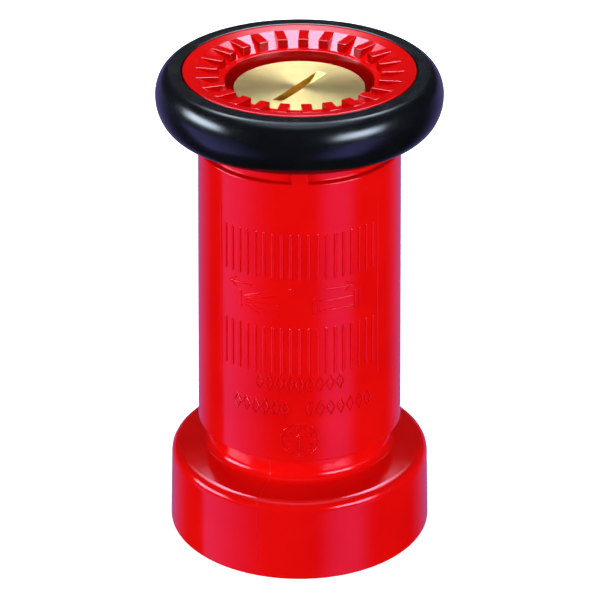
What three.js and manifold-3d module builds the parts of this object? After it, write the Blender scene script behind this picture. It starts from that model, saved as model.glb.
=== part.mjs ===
// Adjustable fog nozzle for a 1-1/2 inch fire hose, as an assembly of its separate pieces.
//
// Millimetres, +Z along the waterway towards the spray, origin at the centre of the inlet end face.
// The front of the barrel, with its index lug, faces -Y.
//
// The red inlet body screws onto the hose and carries a tube with a fast right-hand thread.
// The red barrel is the nut on that thread. Turned clockwise as seen from the tip, it winds back
// over the tube and the water spreads off the brass head. Turned the other way, it winds out
// until its seat meets the rubber washer under the head and shuts the water off.

import * as THREE from 'three';
import { mergeVertices } from 'three/addons/utils/BufferGeometryUtils.js';
import Module from 'manifold-3d';

const wasm = await Module();
wasm.setup();

// ---------------------------------------------------------------- driving dimensions

const SEGMENTS = 32; // facets round every turned piece
const FIT = 0.3; // gap between pieces that bear on each other
const EDGE = 0.5; // broken edge on moulded and turned corners

// Collar: the large end that screws onto the hose
const COLLAR_RADIUS = 38.0;
const COLLAR_TOP_RADIUS = 37.4;
const COLLAR_SIDE_TOP = 21.6;
const SHOULDER_HEIGHT = 25.0;
const SHOULDER_FILLET = 3.2;
const SHOULDER_RISE = 0.6; // from the shoulder's edge in to the foot of the neck

// Female hose thread, 1-1/2 inch at 9 threads per inch
const HOSE_THREAD_MINOR = 23.75;
const HOSE_THREAD_MAJOR = 25.4;
const HOSE_THREAD_PITCH = 25.4 / 9;
const HOSE_THREAD_START = 3.8;
const HOSE_THREAD_TURNS = 3.6;
const HOSE_GROOVE_MOUTH = 1.15; // half the groove's width at the bore
const HOSE_GROOVE_ROOT = 0.3; // half its width at the bottom
const SOCKET_DEPTH = 15.6;
const SOCKET_MOUTH_RADIUS = 25.6;
const SOCKET_MOUTH_LAND = 0.6;

// Gasket recess behind the hose thread
const GASKET_RECESS_RADIUS = 26.0;
const GASKET_SEAT = 20.3;
const GASKET_INNER = 20.5;

// Waterway
const REAR_WATERWAY_RADIUS = 20.6;
const WATERWAY_RADIUS = 19.1;
const WATERWAY_TAPER = [46, 52];

// Neck and tube
const NECK_RADIUS = 25.5;
const NECK_TOP = 47;
const NECK_FILLET = 3.0;
const TUBE_RADIUS = 22.8;
const TUBE_TOP = 112;
const TUBE_EDGE = 1; // bevel at the tube's end

// Fast thread between the tube and the barrel
const CAM_STARTS = 3;
const CAM_LEAD = 12;
const CAM_PITCH = CAM_LEAD / CAM_STARTS;
const CAM_ROOT = 23.6;
const CAM_CREST = 24.9;
const CAM_TOP = 67.6;
const CAM_FLANK = 0.385; // a ridge narrows this much, each side, for each mm of height
const CAM_CREST_HALF_WIDTH = 0.6;
const CAM_RUN_OUT = 1.2; // plain length past each end of the ridges

// O-rings in grooves round the tube
const O_RING_SECTION = 0.95; // radius of its round section
const O_RING_GROOVE_RADIUS = 20.9;
const O_RING_GROOVE_WIDTH = 3.2;
const REAR_O_RING_GROOVE = 86.5;
const FRONT_O_RING_GROOVE = 103.5;

// Spider, which carries the stem in the waterway
const SPIDER_SEAT = 104;
const SPIDER_LIP_RADIUS = 17.2;
const SPIDER_LIP_BEVEL = 0.8;
const SPIDER_REAR = 96.6;
const SPIDER_VANES = 3;
const VANE_THICKNESS = 2.2;
const VANE_SPAN = [5.8, 18.0]; // radii, sunk into the hub and the ring
const VANE_HEIGHTS = [97.6, 103];
const FIRST_VANE_ANGLE = 30; // degrees from +X
const HUB_RADIUS = 6.8;
const HUB_REAR = 97;
const CLIP_GROOVE_RADIUS = 20.3;
const CLIP_GROOVE_WIDTH = 1.7;

// Snap ring that keeps the spider in, an open ring with two drilled ears
const CLIP_INNER = 18.0;
const CLIP_EAR_INNER = 15.8;
const CLIP_EAR_ANGLE = 9; // degrees covered by each ear, and by half the opening
const CLIP_HOLE_CENTRE = 17.6;
const CLIP_HOLE_RADIUS = 0.8;

// Stem and brass head
const STEM_RADIUS = 5.0;
const STEM_THREAD_RADIUS = 3.7;
const STEM_REAR = 88;
const HEAD_RADIUS = 18.2;
const HEAD_TOP = 136.72;
const HEAD_THICKNESS = 1.82;
const HEAD_EDGE = 0.2;
const BOSS_RADIUS = 8.7;
const BOSS_HEIGHT = 2.3;
const SLOT_LENGTH = 22.5;
const SLOT_WIDTH = 2.8;
const SLOT_DEPTH = 2.6;
const SLOT_ANGLE = 58; // degrees from +X

// Washers and nuts on the stem, from the head down
const SEAT_WASHER_RADIUS = 17.4;
const SEAT_WASHER_TOP = HEAD_TOP - HEAD_THICKNESS - FIT;
const SEAT_WASHER_BOTTOM = SEAT_WASHER_TOP - 2;
const RETAINER_RADIUS = 13.5;
const RETAINER_TOP = SEAT_WASHER_BOTTOM - FIT;
const RETAINER_BOTTOM = RETAINER_TOP - 1.7;
const RETAINER_NUT_FLATS = 14;
const RETAINER_NUT_TOP = RETAINER_BOTTOM - FIT;
const RETAINER_NUT_BOTTOM = RETAINER_NUT_TOP - 3.6;
const LOCK_WASHER_RADIUS = 7;
const LOCK_WASHER_TOP = HUB_REAR - FIT;
const LOCK_WASHER_BOTTOM = 95.3;
const LOCK_WASHER_SPLIT = 1; // width of the cut through it
const LOCK_WASHER_SLANT = 35; // degrees, of that cut
const LOCK_NUT_FLATS = 13;
const LOCK_NUT_TOP = 95;
const LOCK_NUT_BOTTOM = 90.4;

// Barrel
const BARREL_REAR = 34.0;
const BARREL_REAR_RADIUS = 29.43;
const BARREL_SHOULDER = 120.1;
const BARREL_SHOULDER_RADIUS = 28.3;
const BARREL_MOUTH_BORE = 26.0;
const BARREL_THREAD_REAR = 52.3;
const BARREL_THREAD_LENGTH = 9;
const BARREL_THREAD_BORE = 25.2;
const BARREL_THREAD_CREST = 23.95;
const SEAL_BORE = 23.1;
const SEAL_BORE_REAR = 79;
const SEAL_BORE_FRONT = 117.4;
const SEAL_BORE_LEAD_IN = 2; // length of the slope into it
const SEAT_HEIGHT = 126.3;
const SEAT_LIP = 2.3; // height of the orifice's wall
const ORIFICE_RADIUS = 15.0;
const WIPER_GROOVE = [38, 41];
const WIPER_GROOVE_RADIUS = 27.6;
const WIPER_LIP = 0.5; // how far the wiper ring's lip stands in from its sides
const WIPER_CLEARANCE = 0.2; // between that lip and the neck

// Mouth of the barrel
const THROAT_RADIUS = 20.66;
const THROAT_TAPER = 0.9; // narrower at the seat than at the mouth
const THROAT_HEIGHT = 138.85;
const LIP_RADIUS = 32.28;
const LIP_HEIGHT = 142.13;
const LIP_BEVEL = [0.4, 0.3]; // across and down
const FLANGE_UNDERSIDE = 137.8;
const BUMPER_GROOVE_RADIUS = 26.6;
const TOOTH_COUNT = 25;
const TOOTH_WIDTH = 2.9;
const TOOTH_INNER = 22.5;
const TOOTH_OUTER = 28.9;
const TOOTH_TOP = [141.5, 141.75]; // at its inner and its outer end
const TOOTH_SUNK = 0.4; // below the throat's edge, to join the cone under it
const CONE_INNER = 22.3;
const CONE_OUTER_HEIGHT = 141.65;
const FIRST_TOOTH_ANGLE = 87.4; // degrees from +X
const LUG_COUNT = 4;
const LUG_WIDTH = 4.2;
const LUG_SPAN = [26.0, 28.2]; // radii
const LUG_BOTTOM = 119.1;
const LUG_TOP = 131;

// Bumper
const BUMPER_RADIUS = 39.9;
const BUMPER_WIDEST = 135.0;
const BUMPER_TOP = 142.05;
const BUMPER_BOTTOM = 126.1;
const BUMPER_TOP_EDGE = 35.6;
const BUMPER_BOTTOM_EDGE = 33.6;
const NOTCH_DEPTH = 4; // of the cutters that make room for the lugs
const NOTCH_BELOW = 2; // how far they start under the bumper

// ---------------------------------------------------------------- materials

const PAINTS = {
  red_plastic: { color: 0xd8141a, roughness: 0.22, metalness: 0 },
  black_rubber: { color: 0x14161a, roughness: 0.5, metalness: 0 },
  brass: { color: 0xd9c27c, roughness: 0.3, metalness: 1 },
  stainless: { color: 0xb9bcc0, roughness: 0.3, metalness: 1 },
};

function paint(name) {
  return new THREE.MeshStandardMaterial(PAINTS[name]);
}

// ---------------------------------------------------------------- shape helpers

const radians = THREE.MathUtils.degToRad;

// Points of a circular or elliptical arc in the (radius, height) plane.
function arc(centreR, centreZ, reachR, reachZ, fromDegrees, toDegrees, steps) {
  const points = [];
  for (let i = 0; i <= steps; i += 1) {
    const angle = radians(fromDegrees + ((toDegrees - fromDegrees) * i) / steps);
    points.push([centreR + reachR * Math.cos(angle), centreZ + reachZ * Math.sin(angle)]);
  }
  return points;
}

// A solid of revolution about Z. The profile is a list of [radius, height] points that goes
// anticlockwise round the section, with the axis on its left, and closes on itself.
function revolve(profile) {
  const points = profile.map(([radius, height]) => new THREE.Vector2(radius, height));
  if (profile[0][0] > 0) points.push(points[0].clone());
  return new THREE.LatheGeometry(points, SEGMENTS).rotateX(Math.PI / 2);
}

// A ring of rectangular section.
function washer(innerRadius, outerRadius, bottom, top) {
  return revolve([
    [innerRadius, bottom],
    [outerRadius, bottom],
    [outerRadius, top],
    [innerRadius, top],
  ]);
}

// A polygon in plan, as a prism between two heights.
function prism(outline, bottom, top, holes = []) {
  const shape = new THREE.Shape(outline);
  holes.forEach((hole) => shape.holes.push(new THREE.Path(hole)));
  const geometry = new THREE.ExtrudeGeometry(shape, { depth: top - bottom, bevelEnabled: false });
  return geometry.translate(0, 0, bottom);
}

function circlePoints(radius, count, centreX = 0, centreY = 0) {
  return Array.from({ length: count }, (_, i) => {
    const angle = (2 * Math.PI * i) / count;
    return new THREE.Vector2(centreX + radius * Math.cos(angle), centreY + radius * Math.sin(angle));
  });
}

// A ridge that follows a right-hand helix about Z. The section is a list of
// [radius, height above the helix] points. The ridge starts at height bottom at angle start.
function helicalRidge(section, lead, turns, bottom, startDegrees) {
  const steps = Math.round(turns * SEGMENTS);
  const shape = new THREE.Shape(section.map(([radius, height]) => new THREE.Vector2(radius, height)));
  const geometry = new THREE.ExtrudeGeometry(shape, { depth: steps, steps, bevelEnabled: false });
  const position = geometry.attributes.position;
  for (let i = 0; i < position.count; i += 1) {
    const turn = (steps - position.getZ(i)) / SEGMENTS;
    const angle = radians(startDegrees) + 2 * Math.PI * turn;
    const radius = position.getX(i);
    const height = bottom + lead * turn + position.getY(i);
    position.setXYZ(i, radius * Math.cos(angle), radius * Math.sin(angle), height);
  }
  return geometry;
}

// Section of one ridge of the fast thread. It stands on rootRadius, and is sunk a little into
// the wall there so that the two join.
function camSection(rootRadius, crestRadius) {
  const sunk = rootRadius + Math.sign(rootRadius - crestRadius) * FIT;
  const rootHalfWidth = CAM_CREST_HALF_WIDTH + CAM_FLANK * Math.abs(sunk - crestRadius);
  const corners = [
    [sunk, -rootHalfWidth],
    [crestRadius, -CAM_CREST_HALF_WIDTH],
    [crestRadius, CAM_CREST_HALF_WIDTH],
    [sunk, rootHalfWidth],
  ];
  return crestRadius > rootRadius ? corners : corners.reverse();
}

// The starts of the fast thread. Each ridge lies on height = phase + lead * turns from its own
// start, so a tube and a barrel half a pitch apart stay in mesh. Its ends fall on a facet edge.
function camRidges(section, bottom, length, phase) {
  const facet = 360 / SEGMENTS;
  return Array.from({ length: CAM_STARTS }, (_, start) => {
    const zero = (360 / CAM_STARTS) * start;
    const first = facet * Math.round((zero + (360 * (bottom - phase)) / CAM_LEAD) / facet);
    const height = phase + (CAM_LEAD * (first - zero)) / 360;
    return helicalRidge(section, CAM_LEAD, length / CAM_LEAD, height, first);
  });
}

// ---------------------------------------------------------------- solid helpers

function solidOf(geometry) {
  const bare = geometry.clone();
  bare.deleteAttribute('normal');
  bare.deleteAttribute('uv');
  const merged = mergeVertices(bare, 1e-4);
  const index = merged.index.array;
  const corners = [];
  for (let i = 0; i < index.length; i += 3) {
    const [a, b, c] = [index[i], index[i + 1], index[i + 2]];
    const collapsed = a === b || b === c || c === a;
    if (!collapsed) corners.push(a, b, c);
  }
  const triVerts = new Uint32Array(corners);
  const vertProperties = new Float32Array(merged.attributes.position.array);
  return new wasm.Manifold(new wasm.Mesh({ numProp: 3, vertProperties, triVerts }));
}

function geometryOf(solid) {
  const mesh = solid.getMesh();
  const geometry = new THREE.BufferGeometry();
  geometry.setAttribute('position', new THREE.BufferAttribute(mesh.vertProperties, 3));
  geometry.setIndex(new THREE.BufferAttribute(mesh.triVerts, 1));
  geometry.computeVertexNormals();
  return geometry;
}

function join(geometry, additions) {
  const add = (solid, addition) => solid.add(solidOf(addition));
  return geometryOf(additions.reduce(add, solidOf(geometry)));
}

function cut(geometry, tools) {
  const subtract = (solid, tool) => solid.subtract(solidOf(tool));
  return geometryOf(tools.reduce(subtract, solidOf(geometry)));
}

const assembly = new THREE.Group();

function piece(name, geometry, paintName) {
  const mesh = new THREE.Mesh(geometry, paint(paintName));
  mesh.name = name;
  assembly.add(mesh);
}

// ---------------------------------------------------------------- inlet body

function oRingGroove(bottom) {
  return [
    [TUBE_RADIUS, bottom],
    [O_RING_GROOVE_RADIUS, bottom],
    [O_RING_GROOVE_RADIUS, bottom + O_RING_GROOVE_WIDTH],
    [TUBE_RADIUS, bottom + O_RING_GROOVE_WIDTH],
  ];
}

function bodyOutside() {
  const shoulderCentre = COLLAR_TOP_RADIUS - SHOULDER_FILLET;
  const filletHeight = SHOULDER_HEIGHT + NECK_FILLET + SHOULDER_RISE;
  return [
    [COLLAR_RADIUS - EDGE, 0],
    [COLLAR_RADIUS, EDGE],
    ...arc(shoulderCentre, COLLAR_SIDE_TOP, SHOULDER_FILLET, SHOULDER_FILLET, 0, 80, 3),
    ...arc(NECK_RADIUS + NECK_FILLET, filletHeight, NECK_FILLET, NECK_FILLET, 260, 180, 3),
    [NECK_RADIUS, NECK_TOP - EDGE],
    [NECK_RADIUS - EDGE, NECK_TOP],
    [CAM_ROOT, NECK_TOP],
    [CAM_ROOT, CAM_TOP],
    [TUBE_RADIUS, CAM_TOP + TUBE_EDGE],
    ...oRingGroove(REAR_O_RING_GROOVE),
    ...oRingGroove(FRONT_O_RING_GROOVE),
    [TUBE_RADIUS, TUBE_TOP - TUBE_EDGE],
    [TUBE_RADIUS - TUBE_EDGE, TUBE_TOP],
  ];
}

function bodyInside() {
  const clipRear = SPIDER_REAR - CLIP_GROOVE_WIDTH;
  const threadEntry = SOCKET_MOUTH_RADIUS - HOSE_THREAD_MINOR + SOCKET_MOUTH_LAND;
  return [
    [SPIDER_LIP_RADIUS + SPIDER_LIP_BEVEL, TUBE_TOP],
    [SPIDER_LIP_RADIUS, TUBE_TOP - TUBE_EDGE],
    [SPIDER_LIP_RADIUS, SPIDER_SEAT],
    [WATERWAY_RADIUS, SPIDER_SEAT],
    [WATERWAY_RADIUS, SPIDER_REAR],
    [CLIP_GROOVE_RADIUS, SPIDER_REAR],
    [CLIP_GROOVE_RADIUS, clipRear],
    [WATERWAY_RADIUS, clipRear],
    [WATERWAY_RADIUS, WATERWAY_TAPER[1]],
    [REAR_WATERWAY_RADIUS, WATERWAY_TAPER[0]],
    [REAR_WATERWAY_RADIUS, GASKET_SEAT],
    [GASKET_RECESS_RADIUS, GASKET_SEAT],
    [GASKET_RECESS_RADIUS, SOCKET_DEPTH],
    [HOSE_THREAD_MINOR, SOCKET_DEPTH],
    [HOSE_THREAD_MINOR, threadEntry],
    [SOCKET_MOUTH_RADIUS, SOCKET_MOUTH_LAND],
    [SOCKET_MOUTH_RADIUS, 0],
  ];
}

// The cutter for the hose thread, which starts a little inside the bore.
function hoseThreadGroove() {
  const inner = HOSE_THREAD_MINOR - 0.4;
  const section = [
    [inner, -HOSE_GROOVE_MOUTH],
    [HOSE_THREAD_MAJOR, -HOSE_GROOVE_ROOT],
    [HOSE_THREAD_MAJOR, HOSE_GROOVE_ROOT],
    [inner, HOSE_GROOVE_MOUTH],
  ];
  return helicalRidge(section, HOSE_THREAD_PITCH, HOSE_THREAD_TURNS, HOSE_THREAD_START, 0);
}

function inletBody() {
  const shell = revolve([...bodyOutside(), ...bodyInside()]);
  const ridge = camSection(CAM_ROOT, CAM_CREST);
  const ridgeLength = CAM_TOP - NECK_TOP - 2 * CAM_RUN_OUT;
  const threaded = join(shell, camRidges(ridge, NECK_TOP + CAM_RUN_OUT, ridgeLength, 0));
  return cut(threaded, [hoseThreadGroove()]);
}

// ---------------------------------------------------------------- seals

function oRing(grooveBottom) {
  const centre = (O_RING_GROOVE_RADIUS + SEAL_BORE) / 2;
  const height = grooveBottom + O_RING_GROOVE_WIDTH / 2;
  return revolve(arc(centre, height, O_RING_SECTION, O_RING_SECTION, 0, 300, 5));
}

function wiperRing() {
  const [bottom, top] = WIPER_GROOVE;
  const inner = NECK_RADIUS + WIPER_CLEARANCE;
  const outer = WIPER_GROOVE_RADIUS - FIT;
  return revolve([
    [inner + WIPER_LIP, bottom + FIT],
    [outer, bottom + FIT],
    [outer, top - FIT],
    [inner + WIPER_LIP, top - FIT],
    [inner, (bottom + top) / 2],
  ]);
}

// ---------------------------------------------------------------- spider and its fasteners

function spider() {
  const ring = washer(SPIDER_LIP_RADIUS, WATERWAY_RADIUS - FIT, SPIDER_REAR, SPIDER_SEAT - FIT);
  const hub = revolve([
    [STEM_THREAD_RADIUS + FIT, HUB_REAR],
    [HUB_RADIUS - EDGE, HUB_REAR],
    [HUB_RADIUS, HUB_REAR + EDGE],
    [HUB_RADIUS, SPIDER_SEAT - EDGE],
    [HUB_RADIUS - EDGE, SPIDER_SEAT],
    [STEM_THREAD_RADIUS + FIT, SPIDER_SEAT],
  ]);
  const [inner, outer] = VANE_SPAN;
  const [rear, front] = VANE_HEIGHTS;
  const vanes = Array.from({ length: SPIDER_VANES }, (_, i) => {
    const vane = new THREE.BoxGeometry(outer - inner, VANE_THICKNESS, front - rear);
    vane.translate((inner + outer) / 2, 0, (rear + front) / 2);
    return vane.rotateZ(radians(FIRST_VANE_ANGLE + (360 / SPIDER_VANES) * i));
  });
  return join(ring, [...vanes, hub]);
}

function spiderClip() {
  const at = (radius, degrees) => {
    return new THREE.Vector2(radius * Math.cos(radians(degrees)), radius * Math.sin(radians(degrees)));
  };
  const sweep = (radius, from, to) => {
    const steps = 38;
    return Array.from({ length: steps + 1 }, (_, i) => at(radius, from + ((to - from) * i) / steps));
  };
  const first = CLIP_EAR_ANGLE;
  const last = 360 - CLIP_EAR_ANGLE;
  const outline = [
    ...sweep(CLIP_GROOVE_RADIUS - FIT, first, last),
    at(CLIP_EAR_INNER, last),
    at(CLIP_EAR_INNER, last - CLIP_EAR_ANGLE),
    ...sweep(CLIP_INNER, last - CLIP_EAR_ANGLE, first + CLIP_EAR_ANGLE),
    at(CLIP_EAR_INNER, first + CLIP_EAR_ANGLE),
    at(CLIP_EAR_INNER, first),
  ];
  const holes = [first + CLIP_EAR_ANGLE / 2, last - CLIP_EAR_ANGLE / 2].map((degrees) => {
    const centre = at(CLIP_HOLE_CENTRE, degrees);
    return circlePoints(CLIP_HOLE_RADIUS, 8, centre.x, centre.y);
  });
  return prism(outline, SPIDER_REAR - CLIP_GROOVE_WIDTH + FIT, SPIDER_REAR - FIT, holes);
}

function hexNut(acrossFlats, boreRadius, bottom, top) {
  const outline = circlePoints(acrossFlats / Math.sqrt(3), 6);
  return prism(outline, bottom, top, [circlePoints(boreRadius, 20)]);
}

// Split spring washer, cut through on one side.
function stemLockWasher() {
  const inner = STEM_THREAD_RADIUS + FIT;
  const middle = (inner + LOCK_WASHER_RADIUS) / 2;
  const thickness = LOCK_WASHER_TOP - LOCK_WASHER_BOTTOM;
  const split = new THREE.BoxGeometry(LOCK_WASHER_RADIUS, LOCK_WASHER_SPLIT, 4 * thickness);
  split.rotateX(radians(LOCK_WASHER_SLANT));
  split.translate(middle + 1, 0, LOCK_WASHER_BOTTOM + thickness / 2);
  return cut(washer(inner, LOCK_WASHER_RADIUS, LOCK_WASHER_BOTTOM, LOCK_WASHER_TOP), [split]);
}

// ---------------------------------------------------------------- stem and head

// The driver slot is a saw cut: its floor is an arc, deepest on the axis.
function driverSlot() {
  const half = SLOT_LENGTH / 2;
  const sawRadius = (half * half + SLOT_DEPTH * SLOT_DEPTH) / (2 * SLOT_DEPTH);
  const saw = new THREE.CylinderGeometry(sawRadius, sawRadius, SLOT_WIDTH, 96);
  saw.translate(0, 0, sawRadius - SLOT_DEPTH);
  return saw.rotateZ(radians(SLOT_ANGLE)).translate(0, 0, HEAD_TOP);
}

function baffleStem() {
  const headBottom = HEAD_TOP - HEAD_THICKNESS;
  const bossBottom = headBottom - BOSS_HEIGHT;
  const turned = revolve([
    [0, STEM_REAR],
    [STEM_THREAD_RADIUS - EDGE, STEM_REAR],
    [STEM_THREAD_RADIUS, STEM_REAR + EDGE],
    [STEM_THREAD_RADIUS, SPIDER_SEAT + FIT],
    [STEM_RADIUS, SPIDER_SEAT + FIT],
    [STEM_RADIUS, bossBottom],
    [BOSS_RADIUS, bossBottom],
    [BOSS_RADIUS, headBottom],
    [HEAD_RADIUS - FIT, headBottom],
    [HEAD_RADIUS, headBottom + FIT],
    [HEAD_RADIUS, HEAD_TOP - HEAD_EDGE],
    [HEAD_RADIUS - HEAD_EDGE, HEAD_TOP],
    [0, HEAD_TOP],
  ]);
  return cut(turned, [driverSlot()]);
}

// ---------------------------------------------------------------- barrel and bumper

function barrelProfile() {
  const [wiperBottom, wiperTop] = WIPER_GROOVE;
  return [
    [BARREL_REAR_RADIUS - EDGE, BARREL_REAR],
    [BARREL_REAR_RADIUS, BARREL_REAR + EDGE],
    [BARREL_SHOULDER_RADIUS, BARREL_SHOULDER - EDGE],
    [BARREL_SHOULDER_RADIUS - EDGE, BARREL_SHOULDER],
    [BUMPER_GROOVE_RADIUS, BARREL_SHOULDER],
    [BUMPER_GROOVE_RADIUS, FLANGE_UNDERSIDE],
    [LIP_RADIUS, FLANGE_UNDERSIDE],
    [LIP_RADIUS, LIP_HEIGHT - LIP_BEVEL[1]],
    [LIP_RADIUS - LIP_BEVEL[0], LIP_HEIGHT],
    [TOOTH_OUTER, CONE_OUTER_HEIGHT],
    [CONE_INNER, THROAT_HEIGHT],
    [THROAT_RADIUS, THROAT_HEIGHT],
    [THROAT_RADIUS - THROAT_TAPER, SEAT_HEIGHT],
    [ORIFICE_RADIUS + FIT, SEAT_HEIGHT],
    [ORIFICE_RADIUS, SEAT_HEIGHT - FIT],
    [ORIFICE_RADIUS, SEAT_HEIGHT - SEAT_LIP],
    [SEAL_BORE - EDGE, SEAL_BORE_FRONT + EDGE],
    [SEAL_BORE, SEAL_BORE_FRONT],
    [SEAL_BORE, SEAL_BORE_REAR],
    [BARREL_THREAD_BORE, SEAL_BORE_REAR - SEAL_BORE_LEAD_IN],
    [BARREL_THREAD_BORE, BARREL_THREAD_REAR],
    [BARREL_MOUTH_BORE, BARREL_THREAD_REAR],
    [BARREL_MOUTH_BORE, wiperTop],
    [WIPER_GROOVE_RADIUS, wiperTop],
    [WIPER_GROOVE_RADIUS, wiperBottom],
    [BARREL_MOUTH_BORE, wiperBottom],
    [BARREL_MOUTH_BORE, BARREL_REAR + EDGE],
    [BARREL_MOUTH_BORE + EDGE, BARREL_REAR],
  ];
}

// One blocky tooth, standing on the cone inside the lip.
function tooth(degrees) {
  const bottom = THROAT_HEIGHT - TOOTH_SUNK;
  const side = [
    new THREE.Vector2(TOOTH_INNER, bottom),
    new THREE.Vector2(TOOTH_OUTER, bottom),
    new THREE.Vector2(TOOTH_OUTER, TOOTH_TOP[1]),
    new THREE.Vector2(TOOTH_INNER, TOOTH_TOP[0]),
  ];
  const options = { depth: TOOTH_WIDTH, bevelEnabled: false };
  const block = new THREE.ExtrudeGeometry(new THREE.Shape(side), options);
  block.translate(0, 0, -TOOTH_WIDTH / 2);
  return block.rotateX(Math.PI / 2).rotateZ(radians(degrees));
}

// Key that bridges the groove below the bumper and stops the bumper turning.
function indexLug(degrees) {
  const [inner, outer] = LUG_SPAN;
  const lug = new THREE.BoxGeometry(outer - inner, LUG_WIDTH, LUG_TOP - LUG_BOTTOM);
  lug.translate((inner + outer) / 2, 0, (LUG_BOTTOM + LUG_TOP) / 2);
  return lug.rotateZ(radians(degrees));
}

function lugAngles() {
  return Array.from({ length: LUG_COUNT }, (_, i) => -90 + (360 / LUG_COUNT) * i);
}

function barrel() {
  const section = camSection(BARREL_THREAD_BORE, BARREL_THREAD_CREST);
  const ridgeRear = BARREL_THREAD_REAR + CAM_RUN_OUT;
  const ridges = camRidges(section, ridgeRear, BARREL_THREAD_LENGTH, CAM_PITCH / 2);
  const toothPitch = 360 / TOOTH_COUNT;
  const teeth = Array.from({ length: TOOTH_COUNT }, (_, i) => tooth(FIRST_TOOTH_ANGLE + toothPitch * i));
  return join(revolve(barrelProfile()), [...ridges, ...teeth, ...lugAngles().map(indexLug)]);
}

function bumper() {
  const bore = BUMPER_GROOVE_RADIUS + FIT;
  const step = FLANGE_UNDERSIDE - FIT;
  const counterbore = LIP_RADIUS + FIT;
  const upperReach = BUMPER_RADIUS - BUMPER_TOP_EDGE;
  const lowerReach = BUMPER_RADIUS - BUMPER_BOTTOM_EDGE;
  const ring = revolve([
    [bore, BUMPER_BOTTOM],
    ...arc(BUMPER_BOTTOM_EDGE, BUMPER_WIDEST, lowerReach, BUMPER_WIDEST - BUMPER_BOTTOM, -90, -15, 5),
    ...arc(BUMPER_TOP_EDGE, BUMPER_WIDEST, upperReach, BUMPER_TOP - BUMPER_WIDEST, 0, 90, 6),
    [counterbore, BUMPER_TOP],
    [counterbore, step],
    [bore, step],
  ]);
  const notchTop = LUG_TOP + 1.5 * FIT;
  const notchBottom = BUMPER_BOTTOM - 0.5 * FIT - NOTCH_BELOW;
  const notches = lugAngles().map((degrees) => {
    const notch = new THREE.BoxGeometry(NOTCH_DEPTH, LUG_WIDTH + 2 * FIT, notchTop - notchBottom);
    notch.translate(BARREL_SHOULDER_RADIUS + FIT - NOTCH_DEPTH / 2, 0, (notchTop + notchBottom) / 2);
    return notch.rotateZ(radians(degrees));
  });
  return cut(ring, notches);
}

// ---------------------------------------------------------------- assembly

function hoseGasket() {
  return washer(GASKET_INNER, GASKET_RECESS_RADIUS - FIT, SOCKET_DEPTH + FIT, GASKET_SEAT - FIT);
}

function seatWasher() {
  return washer(BOSS_RADIUS + FIT, SEAT_WASHER_RADIUS, SEAT_WASHER_BOTTOM, SEAT_WASHER_TOP);
}

function seatRetainer() {
  return washer(STEM_RADIUS + FIT, RETAINER_RADIUS, RETAINER_BOTTOM, RETAINER_TOP);
}

function retainerNut() {
  return hexNut(RETAINER_NUT_FLATS, STEM_RADIUS + FIT, RETAINER_NUT_BOTTOM, RETAINER_NUT_TOP);
}

function stemLockNut() {
  return hexNut(LOCK_NUT_FLATS, STEM_THREAD_RADIUS + FIT, LOCK_NUT_BOTTOM, LOCK_NUT_TOP);
}

piece('inlet_body', inletBody(), 'red_plastic');
piece('hose_gasket', hoseGasket(), 'black_rubber');
piece('rear_o_ring', oRing(REAR_O_RING_GROOVE), 'black_rubber');
piece('front_o_ring', oRing(FRONT_O_RING_GROOVE), 'black_rubber');
piece('spider', spider(), 'brass');
piece('spider_clip', spiderClip(), 'stainless');
piece('baffle_stem', baffleStem(), 'brass');
piece('seat_washer', seatWasher(), 'black_rubber');
piece('seat_retainer', seatRetainer(), 'brass');
piece('retainer_nut', retainerNut(), 'brass');
piece('stem_lock_washer', stemLockWasher(), 'stainless');
piece('stem_lock_nut', stemLockNut(), 'brass');
piece('wiper_ring', wiperRing(), 'black_rubber');
piece('barrel', barrel(), 'red_plastic');
piece('bumper', bumper(), 'black_rubber');

export default assembly;
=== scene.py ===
# Looks of the adjustable fog nozzle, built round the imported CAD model.
#
# The scene is in metres, in the frame of the CAD: +Z along the waterway towards the spray, and
# the front of the barrel facing -Y. Sections and details are written in millimetres and scaled
# by MM where their vertices are made. Angles round the axis are in degrees from the front,
# positive towards +X.

import math

import bmesh
import bpy
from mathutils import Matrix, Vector


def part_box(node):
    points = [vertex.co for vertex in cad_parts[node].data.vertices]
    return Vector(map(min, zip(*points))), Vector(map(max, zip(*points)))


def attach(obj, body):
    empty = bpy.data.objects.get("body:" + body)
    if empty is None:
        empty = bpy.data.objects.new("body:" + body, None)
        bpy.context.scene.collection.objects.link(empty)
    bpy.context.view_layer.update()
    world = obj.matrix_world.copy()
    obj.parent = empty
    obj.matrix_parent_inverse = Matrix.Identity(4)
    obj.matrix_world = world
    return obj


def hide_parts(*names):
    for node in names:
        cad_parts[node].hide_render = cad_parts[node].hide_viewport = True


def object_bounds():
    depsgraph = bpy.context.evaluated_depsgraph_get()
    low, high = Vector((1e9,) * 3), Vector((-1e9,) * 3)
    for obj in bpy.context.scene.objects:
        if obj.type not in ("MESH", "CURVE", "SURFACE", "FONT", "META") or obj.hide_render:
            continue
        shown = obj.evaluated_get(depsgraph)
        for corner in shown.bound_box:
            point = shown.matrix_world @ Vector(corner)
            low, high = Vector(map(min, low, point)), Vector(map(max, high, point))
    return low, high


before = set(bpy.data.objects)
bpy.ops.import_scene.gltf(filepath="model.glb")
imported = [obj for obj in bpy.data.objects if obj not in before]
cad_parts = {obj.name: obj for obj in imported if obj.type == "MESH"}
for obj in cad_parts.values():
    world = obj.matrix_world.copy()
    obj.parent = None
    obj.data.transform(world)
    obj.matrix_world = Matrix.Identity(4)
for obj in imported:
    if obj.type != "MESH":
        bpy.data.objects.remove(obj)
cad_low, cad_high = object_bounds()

MM = 0.001

# ---------------- driving dimensions, mm

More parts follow.
